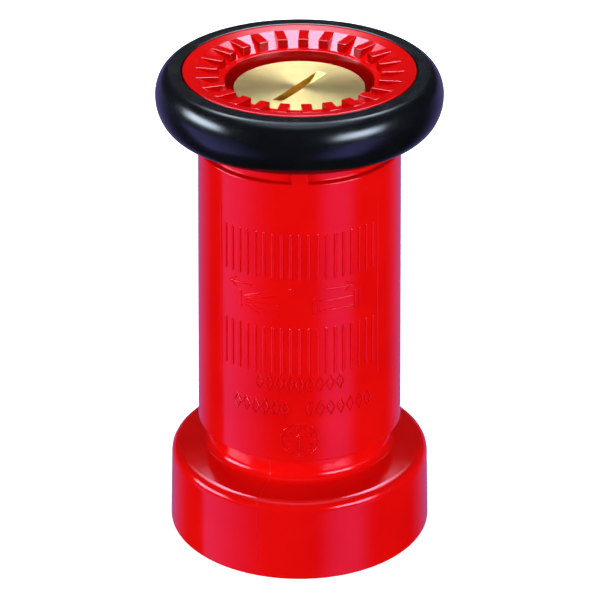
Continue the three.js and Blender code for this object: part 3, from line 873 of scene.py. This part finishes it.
def vane(bm, degrees, middle):
    """One streamlined vane of the spider. It widens where it meets the hub and the ring."""
    section = arc((0, 0), VANE_HALF, 0, 360, 18)[:-1]
    inner_flare, outer_flare = VANE_RADII[2], VANE_RADII[-3]
    stations = []
    for radius in VANE_RADII:
        near_hub = (inner_flare - radius) / (inner_flare - VANE_RADII[0])
        near_ring = (radius - outer_flare) / (VANE_RADII[-1] - outer_flare)
        flare = 1.0 + VANE_FLARE * max(0.0, near_hub, near_ring)
        across = polar(1, degrees + 90, 0) * flare
        stations.append((polar(radius, degrees, middle), across, Vector((0, 0, 1))))
    sweep(bm, stations, section)


def spider():
    """Brass ring and hub, joined by vanes."""
    bottom, top, outer = span("spider")
    ring_top = SPIDER_SEAT - CLEARANCE
    hub_bottom = bottom + HUB_SET_BACK
    bore = STEM_THREAD_RADIUS + CLEARANCE
    ring = [
        (LIP_RADIUS_INSIDE, bottom, 0.4),
        (outer, bottom, 0.2),
        (outer, ring_top, 0.2),
        (LIP_RADIUS_INSIDE, ring_top, 0.4),
    ]
    hub = [
        (bore, hub_bottom, 0.3),
        (HUB_RADIUS, hub_bottom, 0.8),
        (HUB_RADIUS, top, 0.8),
        (bore, top, 0.3),
    ]
    bm = bmesh.new()
    revolve(bm, rounded(ring))
    revolve(bm, rounded(hub))
    for index in range(VANE_COUNT):
        vane(bm, 360 * (index + 1) / VANE_COUNT, (hub_bottom + top) / 2 - 0.2)
    return mesh_object("spider_fine", bm)


def spider_clip():
    """Internal snap ring: an open ring that ends in two ears with holes."""
    bottom, top, outer = span("spider_clip")

    def bend(radius, start, end, steps=120):
        return arc((0, 0), (radius, radius), start, end, steps)

    first = CLIP_HALF_OPENING
    first_ear = first + CLIP_EAR_ANGLE
    last, last_ear = 360 - first, 360 - first_ear
    outline = bend(outer, first, last)
    outline += bend(CLIP_EAR_RADIUS, last, last_ear, 1)
    outline += bend(CLIP_RADIUS_INSIDE, last_ear, first_ear)
    outline += bend(CLIP_EAR_RADIUS, first_ear, first, 1)
    hole_place, hole_radius = CLIP_HOLE
    # Two steps across an ear have their middle point where its hole stands.
    middles = (bend(hole_place, *ear, 2)[1] for ear in ((first, first_ear), (last_ear, last)))
    holes = [circle(middle, hole_radius, 20) for middle in middles]
    return mesh_object("spider_clip_fine", plate_mesh([outline, *holes], bottom, top, 0.12))


def hex_nut(node, across_flats, bore):
    """A hexagon nut with both faces chamfered."""
    bottom, top, _ = span(node)
    flat = across_flats / 2
    corner = across_flats / math.sqrt(3)
    rise = (corner - flat) * 0.6
    face = flat - 0.1
    beyond = corner + 0.1
    outlines = [circle((0, 0), corner, 6), circle((0, 0), bore, 40)]
    nut = mesh_object(node + "_fine", plate_mesh(outlines, bottom, top, 0.15))
    chamfer = [
        (0, bottom - 1),
        (face - 0.3, bottom - 1),
        (face, bottom),
        (beyond, bottom + rise),
        (beyond, top - rise),
        (face, top),
        (face - 0.3, top + 1),
        (0, top + 1),
    ]
    cone = bmesh.new()
    revolve(cone, chamfer, 96)
    return combine(nut, cone, "INTERSECT")


def stem_lock_washer():
    """Split spring washer, its ends a little apart in height."""
    bottom, top, outer = span("stem_lock_washer")
    inner = STEM_THREAD_RADIUS + CLEARANCE
    middle = (inner + outer) / 2
    half = (outer - inner) / 2
    thick = (top - bottom) * LOCK_WASHER_SHARE
    rise = (top - bottom) - thick
    bevel = 0.18
    high = thick / 2
    section = [
        (-half + bevel, -high),
        (half - bevel, -high),
        (half, -high + bevel),
        (half, high - bevel),
        (half - bevel, high),
        (-half + bevel, high),
        (-half, high - bevel),
        (-half, -high + bevel),
    ]
    start, turn = LOCK_WASHER_TURN
    steps = 84
    stations = []
    for step in range(steps + 1):
        share = step / steps
        degrees = start + turn * share
        centre = polar(middle, degrees, bottom + high + rise * share)
        stations.append((centre, polar(1, degrees, 0), Vector((0, 0, 1))))
    bm = bmesh.new()
    sweep(bm, stations, section)
    return mesh_object("stem_lock_washer_fine", bm)


# ---------------- stem and head


def driver_slot(top):
    """The saw's path: a disc on edge, so that the slot's floor is an arc."""
    half = SLOT_LENGTH / 2
    saw_radius = (half * half + SLOT_DEPTH * SLOT_DEPTH) / (2 * SLOT_DEPTH)
    lengthwise = polar(1, SLOT_ANGLE, 0)
    sideways = polar(1, SLOT_ANGLE + 90, 0) * SLOT_WIDTH / 2
    upwards = Vector((0, 0, 1))
    centre = upwards * (top + saw_radius - SLOT_DEPTH)
    bm = bmesh.new()
    sides = []
    for side in (-1, 1):
        rim = circle((0, 0), saw_radius, 160)
        points = [centre + lengthwise * x + upwards * z + sideways * side for x, z in rim]
        sides.append([bm.verts.new(point * MM) for point in points])
    skin(bm, sides)
    return bm


def stem_outline():
    """Threaded foot, stem, boss for the seat washer, and head."""
    bottom, top, outer = span("baffle_stem")
    head_bottom = top - HEAD_THICKNESS
    boss_bottom = head_bottom - BOSS_HEIGHT
    shoulder = SPIDER_SEAT + CLEARANCE
    corners = [
        (0, bottom),
        (STEM_THREAD_ROOT, bottom, 0.4),
        (STEM_THREAD_ROOT, STEM_THREAD_TOP),
        (STEM_THREAD_RADIUS, STEM_THREAD_TOP + 0.5),
        (STEM_THREAD_RADIUS, shoulder),
        (STEM_RADIUS, shoulder, 0.3),
        (STEM_RADIUS, boss_bottom, 0.3),
        (BOSS_RADIUS, boss_bottom, 0.2),
        (BOSS_RADIUS, head_bottom, 0.2),
        (outer, head_bottom, 0.3),
        (outer, top, 0.22),
    ]
    corners += [(outer - inwards, top) for inwards in HEAD_RINGS]
    corners.append((0, top))
    return rounded(corners)


def stem_thread(bm):
    """Thread for the nut under the spider."""
    bottom = span("baffle_stem")[0]
    foot_half, crest_half = 0.45, 0.08
    profile = [(STEM_THREAD_ROOT - 0.1, foot_half), (STEM_THREAD_RADIUS, crest_half)]
    helix(bm, profile, STEM_THREAD_PITCH, bottom + 0.6, STEM_THREAD_TOP - 0.1, 0)


def baffle_stem():
    """Stem and head in one piece. The thread is added after the slot is cut."""
    bm = bmesh.new()
    revolve(bm, stem_outline())
    slot = driver_slot(span("baffle_stem")[1])
    stem = combine(mesh_object("slotted_stem", bm), slot, "DIFFERENCE")
    bm = bmesh.new()
    bm.from_mesh(stem.data)
    stem_thread(bm)
    bpy.data.objects.remove(stem)
    return mesh_object("baffle_stem_fine", bm)


def mark_slot_faces(stem):
    """Gives the faces inside the driver slot the stem's second material."""
    top = span("baffle_stem")[1]
    across = polar(1, SLOT_ANGLE + 90, 0)
    near = 0.01
    for face in stem.data.polygons:
        centre = face.center / MM
        within_width = abs(centre.dot(across)) < SLOT_WIDTH / 2 + near
        within_length = centre.xy.length < SLOT_LENGTH / 2
        within_depth = top - SLOT_DEPTH - 0.1 < centre.z < top - near
        if within_width and within_length and within_depth:
            face.material_index = 1


# ---------------- barrel


BARREL_REAR, BARREL_LIP, _ = span("barrel")


def barrel_radius(height):
    """Outer radius of the tapered barrel at a height."""
    share = (height - BARREL_REAR) / (BARREL_SHOULDER - BARREL_REAR)
    return BARREL_REAR_RADIUS + (BARREL_SHOULDER_RADIUS - BARREL_REAR_RADIUS) * share


MARK_RADIUS = barrel_radius(75.0)  # radius at which the barrel is unrolled for its marks


def along(degrees):
    """Millimetres round the unrolled barrel from its front, towards +X."""
    return math.radians(degrees) * MARK_RADIUS


def barrel_side(side, height):
    """Point and outward direction on the barrel, at a place of the unrolled barrel."""
    degrees = math.degrees(side / MARK_RADIUS)
    return polar(barrel_radius(height), degrees, height), polar(1, degrees, 0)


def barrel_outline():
    """Closed outline of the barrel: up the outside, over the lip, down through the throat."""
    seal_bottom, seal_top = SEAL_BORE_SPAN
    wiper_bottom, wiper_top, wiper_radius = WIPER_GROOVE
    corners = [
        (BARREL_REAR_RADIUS, BARREL_REAR, 0.5),
        (BARREL_SHOULDER_RADIUS, BARREL_SHOULDER, 0.55),
        (BUMPER_GROOVE, BARREL_SHOULDER, 0.5),
        (BUMPER_GROOVE, FLANGE_UNDERSIDE, 0.3),
        (FLANGE_RADIUS, FLANGE_UNDERSIDE, 0.3),
        (FLANGE_RADIUS, BARREL_LIP, 0.35),
        (LIP_RADIUS, BARREL_LIP, 0.8),
        (*CONE_TOP, 0.2),
        (CONE_FOOT, THROAT_HEIGHT, 0.2),
        (THROAT_RADIUS, THROAT_HEIGHT, 0.35),
        (THROAT_RADIUS - THROAT_DRAFT, SEAT_HEIGHT, 0.4),
        (ORIFICE_RADIUS, SEAT_HEIGHT, 0.4),
        (ORIFICE_RADIUS, SEAT_HEIGHT - SEAT_THICKNESS, 0.3),
        (SEAL_BORE, seal_top, 0.5),
        (SEAL_BORE, seal_bottom, 0.5),
        (BARREL_CAM_BORE, seal_bottom - 2),
        (BARREL_CAM_BORE, BARREL_CAM_STEP, 0.2),
        (BARREL_BORE, BARREL_CAM_STEP, 0.2),
        (BARREL_BORE, wiper_top, 0.15),
        (wiper_radius, wiper_top, 0.2),
        (wiper_radius, wiper_bottom, 0.2),
        (BARREL_BORE, wiper_bottom, 0.15),
        (BARREL_BORE, BARREL_REAR, 0.4),
    ]
    return rounded(corners)


def grip_ribs(bm, middle_angle):
    """Two bands of upright ribs, and the fine edges of the mould insert beside them."""
    count = round(2 * RIB_REACH / RIB_PITCH) + 1
    for bottom, top in (UPPER_RIBS, LOWER_RIBS):
        for index in range(count):
            side = along(middle_angle - RIB_REACH + RIB_PITCH * index)
            path = [(side, bottom), (side, (bottom + top) / 2), (side, top)]
            raised_line(bm, path, RIB_LINE)
    for edge in (-PANEL_EDGE, PANEL_EDGE):
        side = along(middle_angle + edge)
        path = straight((side, PANEL_SPAN[0]), (side, PANEL_SPAN[1]), 8.0)
        raised_line(bm, path, INSERT_LINE)


def arrow(bm, angles):
    """A long arrow round the barrel, from its tail's angle to its tip's."""
    tail, tip = angles
    barb_length, barb_height = ARROW_BARB
    foot = along(tip) - math.copysign(barb_length, tip - tail)
    end = (along(tip), ARROW_HEIGHT)
    raised_line(bm, straight((along(tail), ARROW_HEIGHT), end), ARROW_LINE)
    for rise in (-barb_height, barb_height):
        raised_line(bm, straight((foot, ARROW_HEIGHT + rise), end), BARB_LINE)


def sign_bar(bm, side, half_height):
    """An upright bar of a sign."""
    path = straight((side, SIGN_HEIGHT - half_height), (side, SIGN_HEIGHT + half_height))
    raised_line(bm, path, SIGN_BAR_LINE, FLAT_TOP)


def mouth_sign(bm, degrees, rays):
    """Sign for the spray: the nozzle's mouth, and rays that leave it as (offset, rise, run)."""
    left = along(degrees)
    sign_bar(bm, left, MOUTH_HALF_HEIGHT)
    for offset, rise, run in rays:
        start = (left + MOUTH_GAP, SIGN_HEIGHT + offset)
        end = (left + MOUTH_GAP + run, SIGN_HEIGHT + offset + rise)
        raised_line(bm, straight(start, end), RAY_LINE)


def open_sign(bm):
    """An open fan of rays."""
    rays = [(0.0, 0.0, LONG_RAY)]
    for side in (-1, 1):
        rays.append((side * 0.7, side * 1.9, 9.0))
        rays.append((side * 1.4, side * 1.6, 4.2))
    mouth_sign(bm, OPEN_SIGN, rays)


def closed_sign(bm):
    """Parallel rays that meet a wall."""
    mouth_sign(bm, CLOSED_SIGN, [(-1.5, 0.0, LONG_RAY), (1.5, 0.0, LONG_RAY)])
    for degrees in CLOSED_STOPS:
        sign_bar(bm, along(degrees), STOP_HALF_HEIGHT)


def lozenge_rows(bm):
    """Two rows of small raised lozenges."""
    half_wide, half_high = LOZENGE_HALF
    for height, groups in LOZENGE_ROWS:
        for first, last, count in groups:
            for index in range(count):
                middle = along(first + (last - first) * index / (count - 1))
                corners = [
                    (middle - half_wide, height),
                    (middle, height - half_high),
                    (middle + half_wide, height),
                    (middle, height + half_high),
                ]
                raised_line(bm, corners, LOZENGE_LINE, closed=True)


# The seven bars that a digit is drawn with, by their ends, and the bars of each digit
BARS = {
    "top": ((0, 2), (1, 2)),
    "upper_left": ((0, 1), (0, 2)),
    "upper_right": ((1, 1), (1, 2)),
    "middle": ((0, 1), (1, 1)),
    "lower_left": ((0, 0), (0, 1)),
    "lower_right": ((1, 0), (1, 1)),
    "bottom": ((0, 0), (1, 0)),
}
DIGITS = {
    "1": ("upper_right", "lower_right"),
    "2": ("top", "upper_right", "middle", "lower_left", "bottom"),
    "3": ("top", "upper_right", "middle", "lower_right", "bottom"),
    "4": ("upper_left", "upper_right", "middle", "lower_right"),
    "5": ("top", "upper_left", "middle", "lower_right", "bottom"),
    "6": ("top", "upper_left", "middle", "lower_left", "lower_right", "bottom"),
}


def dial_number(bm, number, centre):
    """A two-digit number of the date dial."""
    wide, tall = DIGIT_SIZE
    middle, height = centre
    for place, digit in enumerate(str(number)):
        left = middle - DIGIT_START + place * DIGIT_PITCH
        for bar in DIGITS[digit]:
            ends = [(left + x * wide, height + (y - 1) * tall) for x, y in BARS[bar]]
            raised_line(bm, ends, DIAL_FINE_LINE)


def dial_point(reach, turn):
    """A point of the dial, at a share of a turn clockwise from its top."""
    angle = math.radians(90 - 360 * turn)
    return (reach * math.cos(angle), DIAL_HEIGHT + reach * math.sin(angle))


def date_dial(bm):
    """Mould date dial: a ring with numbers round a pointer."""
    raised_line(bm, circle((0, DIAL_HEIGHT), DIAL_RADIUS, 64), DIAL_RING_LINE, closed=True)
    count = len(DIAL_NUMBERS)
    for index, number in enumerate(DIAL_NUMBERS):
        dial_number(bm, number, dial_point(DIAL_NUMBER_REACH, index / count))
        tick = [dial_point(reach, (index + 0.5) / count) for reach in DIAL_TICK]
        raised_line(bm, tick, DIAL_FINE_LINE)
    needle = [(0.0, DIAL_HEIGHT + rise) for rise in (DIAL_NEEDLE[0], 0.0, DIAL_NEEDLE[1])]
    raised_line(bm, needle, NEEDLE_LINE)
    reach, foot, tip = NEEDLE_BARB
    for side in (-reach, reach):
        barb = [(side, DIAL_HEIGHT + foot), (0.0, DIAL_HEIGHT + tip)]
        raised_line(bm, barb, NEEDLE_BARB_LINE)


def pip(bm):
    """A small raised dash between the two arrows."""
    degrees, half_height = PIP
    path = [(along(degrees), ARROW_HEIGHT + rise) for rise in (-half_height, 0.0, half_height)]
    raised_line(bm, path, PIP_LINE)


def front_marks(bm):
    grip_ribs(bm, 0)
    arrow(bm, OPEN_ARROW)
    arrow(bm, CLOSED_ARROW)
    open_sign(bm)
    closed_sign(bm)
    pip(bm)
    lozenge_rows(bm)
    date_dial(bm)


def mouth_teeth(bm):
    """Blocky teeth round the mouth, which break the spray up."""
    heights = (THROAT_HEIGHT - TOOTH_ROOT, *TOOTH_TOP)
    for index in range(TOOTH_COUNT):
        degrees = FIRST_TOOTH + 360 * index / TOOTH_COUNT
        radial_block(bm, degrees, TOOTH_SPAN, heights, TOOTH_WIDTH, TOOTH_BEVEL)


def index_lugs(bm):
    """Lugs in the bumper's groove, which keep the bumper from turning."""
    behind, below = LUG_ROOT
    radii = (BUMPER_GROOVE - behind, BARREL_SHOULDER_RADIUS - 0.1)
    heights = (BARREL_SHOULDER - below, LUG_TOP, LUG_TOP)
    for index in range(LUG_COUNT):
        radial_block(bm, 360 * index / LUG_COUNT, radii, heights, LUG_WIDTH, LUG_BEVEL)


def barrel():
    bm = bmesh.new()
    revolve(bm, barrel_outline())
    cam_ridges(bm, BARREL_CAM_BORE, BARREL_CAM_CREST, BARREL_CAM, CAM_PITCH / 2)
    mouth_teeth(bm)
    index_lugs(bm)
    front_marks(bm)
    grip_ribs(bm, 180)
    return mesh_object("barrel_fine", bm)


def bumper_outline():
    """Two quarters of different ellipses outside, a flat top, and the step for the red lip."""
    bottom, top, outer = span("bumper")
    bore = BUMPER_GROOVE + CLEARANCE
    step = FLANGE_UNDERSIDE - CLEARANCE
    counterbore = FLANGE_RADIUS + CLEARANCE
    crown_centre = (outer - BUMPER_CROWN[0], BUMPER_WIDEST)
    belly_centre = (outer - BUMPER_BELLY, BUMPER_WIDEST)
    flat_share = (BUMPER_FLAT - crown_centre[0]) / BUMPER_CROWN[0]
    flat_angle = math.degrees(math.acos(flat_share))
    belly_reach = (BUMPER_BELLY, BUMPER_WIDEST - bottom)
    outline = [(bore, bottom + 0.3), (bore + 0.3, bottom)]
    outline += arc(belly_centre, belly_reach, -90, 0, 22)[:-1]
    outline += arc(crown_centre, BUMPER_CROWN, 0, flat_angle, 20)
    outline += [
        (BUMPER_FLAT - 0.15, top),
        (counterbore + 0.35, top),
        (counterbore + 0.1, top - 0.1),
        (counterbore, top - 0.35),
        (counterbore, step),
        (bore, step),
    ]
    return outline


def bumper():
    """The rubber ring, with a notch round each of the barrel's lugs."""
    ring = ring_object("bumper_fine", bumper_outline())
    radii = (BUMPER_GROOVE - 2, BARREL_SHOULDER_RADIUS + CLEARANCE)
    notch_top = LUG_TOP + CLEARANCE
    heights = (span("bumper")[0] - 2, notch_top, notch_top)
    width = LUG_WIDTH + 2 * CLEARANCE
    for index in range(LUG_COUNT):
        notch = bmesh.new()
        radial_block(notch, 360 * index / LUG_COUNT, radii, heights, width, 0.2)
        ring = combine(ring, notch, "DIFFERENCE")
    return ring


# ---------------- put together


def dress(obj, body, material):
    """Gives a piece its material, and says what it rides on and which CAD node it stands for."""
    obj.data.materials.clear()
    obj.data.materials.append(material)
    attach(obj, body)
    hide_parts(obj.name.removesuffix("_fine"))


def nozzle():
    red = red_plastic()
    rubber = black_rubber()
    turned = turned_brass()
    cast = cast_brass()
    steel = stainless_steel()
    dress(inlet_body(), "inlet", red)
    dress(hose_gasket(), "inlet", rubber)
    dress(o_ring("rear_o_ring"), "inlet", rubber)
    dress(o_ring("front_o_ring"), "inlet", rubber)
    dress(spider(), "inlet", cast)
    dress(spider_clip(), "inlet", steel)
    stem = baffle_stem()
    dress(stem, "inlet", turned)
    stem.data.materials.append(sawn_brass())
    mark_slot_faces(stem)
    rubber_disc = washer("seat_washer", BOSS_RADIUS + CLEARANCE, 0.3)
    dress(rubber_disc, "inlet", rubber)
    brass_disc = washer("seat_retainer", STEM_RADIUS + CLEARANCE, 0.6)
    dress(brass_disc, "inlet", cast)
    dress(hex_nut("retainer_nut", *RETAINER_NUT), "inlet", cast)
    dress(stem_lock_washer(), "inlet", steel)
    dress(hex_nut("stem_lock_nut", *LOCK_NUT), "inlet", cast)
    dress(wiper_ring(), "wiper", rubber)
    dress(barrel(), "barrel", red)
    dress(bumper(), "barrel", rubber)


# ---------------- camera, floor and light

CAMERA_PLACE = (0.00014, -0.74977, 0.46136)
CAMERA_PITCH = 27.542  # degrees below level
CAMERA_LENS = 177.345
SENSOR_WIDTH = 36.0
FLOOR_SIZE = 8.0
FLOOR_GAP = 0.0002  # keeps the floor clear of the collar's end face
FLOOR_GLOW = 0.75
WHITE_LIGHT = (0.90, 0.93, 1.0, 1)
VIOLET_LIGHT = (0.40, 0.34, 1.0, 1)
ROOM_LIGHT = 0.08  # of the white room, against 1 for what the camera sees of it
LIGHTS = (
    # name, azimuth, elevation, distance, width and height, watts, and the height that it points
    # at as a share of the nozzle's
    ("left_light", -60, 2, 0.55, (0.60, 0.09), 3.15, 0.65),
    ("right_light", 59, 2, 0.55, (0.60, 0.09), 3.05, 0.65),
    ("front_light", 0, 34, 0.60, (0.12, 0.12), 0.5, 0.8),
    ("rear_light", 180, -4, 0.55, (0.40, 0.09), 2.6, 0.65),
    ("top_light", 0, 90, 0.60, (0.10, 0.10), 3.2, 1.0),
)
SOFTBOX_EDGE = 8  # width of a softbox's soft upper and lower edges
WHITE_SOFTBOXES = (
    # lean for each degree of height, azimuths over which it grows and those over which it
    # fades, lower and upper edge, strength
    (-0.386, (-99, -91), (-67, -55), (8, 24), 14.0),
    (0.386, (19, 31), (51, 67), (8, 24), 14.0),
)
VIOLET_SOFTBOXES = (
    (-0.386, (-109, -104), (-98, -35), (-44, -10), 1.02),
    (0.386, (23, 50), (58, 83), (-44, -10), 1.02),
)


def camera():
    data = bpy.data.cameras.new("camera")
    data.sensor_width = SENSOR_WIDTH
    data.lens = CAMERA_LENS
    obj = new_object("camera", data)
    obj.location = CAMERA_PLACE
    obj.rotation_euler = (math.radians(90 - CAMERA_PITCH), 0, 0)
    bpy.context.scene.camera = obj


def floor():
    """White floor that only the camera sees. It neither lights nor shows in the nozzle."""
    bm = bmesh.new()
    bmesh.ops.create_grid(bm, x_segments=8, y_segments=8, size=FLOOR_SIZE / 2)
    obj = new_object("floor", take_mesh("floor", bm))
    obj.data.materials.append(floor_paint())
    obj.location.z = cad_low.z - FLOOR_GAP
    obj.visible_glossy = False
    obj.visible_diffuse = False


def area_light(name, azimuth, elevation, distance, size, watts, aim):
    """A soft light that points at the nozzle. It doesn't show in reflections."""
    data = bpy.data.lights.new(name, "AREA")
    data.shape = "RECTANGLE"
    data.size, data.size_y = size
    data.energy = watts
    obj = new_object(name, data)
    rise = math.radians(elevation)
    offset = polar(math.cos(rise), azimuth, math.sin(rise)) * distance
    obj.location = Vector((0, 0, cad_high.z * aim)) + offset
    obj.rotation_euler = (-offset).to_track_quat("-Z", "Y").to_euler()
    obj.visible_glossy = False


def fade(graph, value, start, end):
    """0 where the value is at start, rising smoothly to 1 at end, which may be below start."""
    if start < end:
        return graph.remap(value, start, end, 0.0, 1.0, smooth=True)
    return graph.remap(value, end, start, 1.0, 0.0, smooth=True)


def product(graph, result, *values):
    for value in values:
        result = graph.math("MULTIPLY", result, value)
    return result


def total(graph, result, *values):
    for value in values:
        result = graph.math("ADD", result, value)
    return result


def softbox(graph, azimuth, elevation, lean, rise, fall, band, strength):
    """Brightness of one softbox, as seen from the nozzle. All angles are in degrees.

    rise and fall are given at level and move by lean for each degree of height.
    """
    place = graph.math("MULTIPLY_ADD", elevation, -lean, azimuth)
    low, high = band
    half_edge = SOFTBOX_EDGE / 2
    sides = product(graph, fade(graph, place, *rise), fade(graph, place, *reversed(fall)))
    above = fade(graph, elevation, low - half_edge, low + half_edge)
    below = fade(graph, elevation, high + half_edge, high - half_edge)
    return product(graph, sides, above, below, strength)


def reflections(graph):
    """What the nozzle reflects: softboxes that stand in the dark, as a shader."""
    direction = graph.add("ShaderNodeTexCoord").outputs["Generated"]
    parts = graph.add("ShaderNodeSeparateXYZ", {"Vector": direction})
    x, y, z = parts.outputs["X"], parts.outputs["Y"], parts.outputs["Z"]
    forward = graph.math("MULTIPLY", y, -1.0)
    azimuth = graph.math("DEGREES", graph.math("ARCTAN2", x, forward))
    elevation = graph.math("DEGREES", graph.math("ARCSINE", z))
    behind = fade(graph, y, 0.35, 0.85)
    rear_half = fade(graph, y, 0.19, 0.31)
    above_middle = fade(graph, graph.math("ABSOLUTE", x), 0.55, 0.28)
    overhead = product(graph, fade(graph, elevation, 36, 60), above_middle, rear_half, 17.0)
    ceiling = product(graph, fade(graph, elevation, 58, 74), 1.1)
    back_wall = product(graph, behind, fade(graph, elevation, -6, 22), 0.025)
    back_floor = product(graph, behind, fade(graph, elevation, 6, -6), 0.46)
    darkness = 0.003
    white = [softbox(graph, azimuth, elevation, *box) for box in WHITE_SOFTBOXES]
    white = total(graph, *white, overhead, ceiling, back_wall, darkness)
    violet = [softbox(graph, azimuth, elevation, *box) for box in VIOLET_SOFTBOXES]
    violet = total(graph, *violet, back_floor)
    both = graph.add("ShaderNodeAddShader")
    for place, tint, strength in ((0, WHITE_LIGHT, white), (1, VIOLET_LIGHT, violet)):
        part = graph.add("ShaderNodeBackground", {"Color": tint, "Strength": strength})
        graph.feed(both.inputs[place], part.outputs[0])
    return both.outputs[0]


def studio():
    """World light: a white room, which the camera sees brightest, and its own reflections."""
    world = bpy.data.worlds.new("studio")
    bpy.context.scene.world = world
    world.use_nodes = True
    graph = Graph(world.node_tree)
    rays = graph.add("ShaderNodeLightPath")
    seen = rays.outputs["Is Camera Ray"]
    strength = graph.math("MULTIPLY_ADD", seen, 1.0 - ROOM_LIGHT, ROOM_LIGHT)
    room = graph.add("ShaderNodeBackground", {"Color": (1, 1, 1, 1), "Strength": strength})
    mixed = graph.add("ShaderNodeMixShader")
    graph.feed(mixed.inputs[0], rays.outputs["Is Glossy Ray"])
    graph.feed(mixed.inputs[1], room.outputs[0])
    graph.feed(mixed.inputs[2], reflections(graph))
    output = graph.add("ShaderNodeOutputWorld")
    graph.feed(output.inputs["Surface"], mixed.outputs[0])


def light():
    studio()
    for lamp in LIGHTS:
        area_light(*lamp)


camera()
floor()
light()
nozzle()
bpy.context.scene.view_settings.view_transform = "Standard"
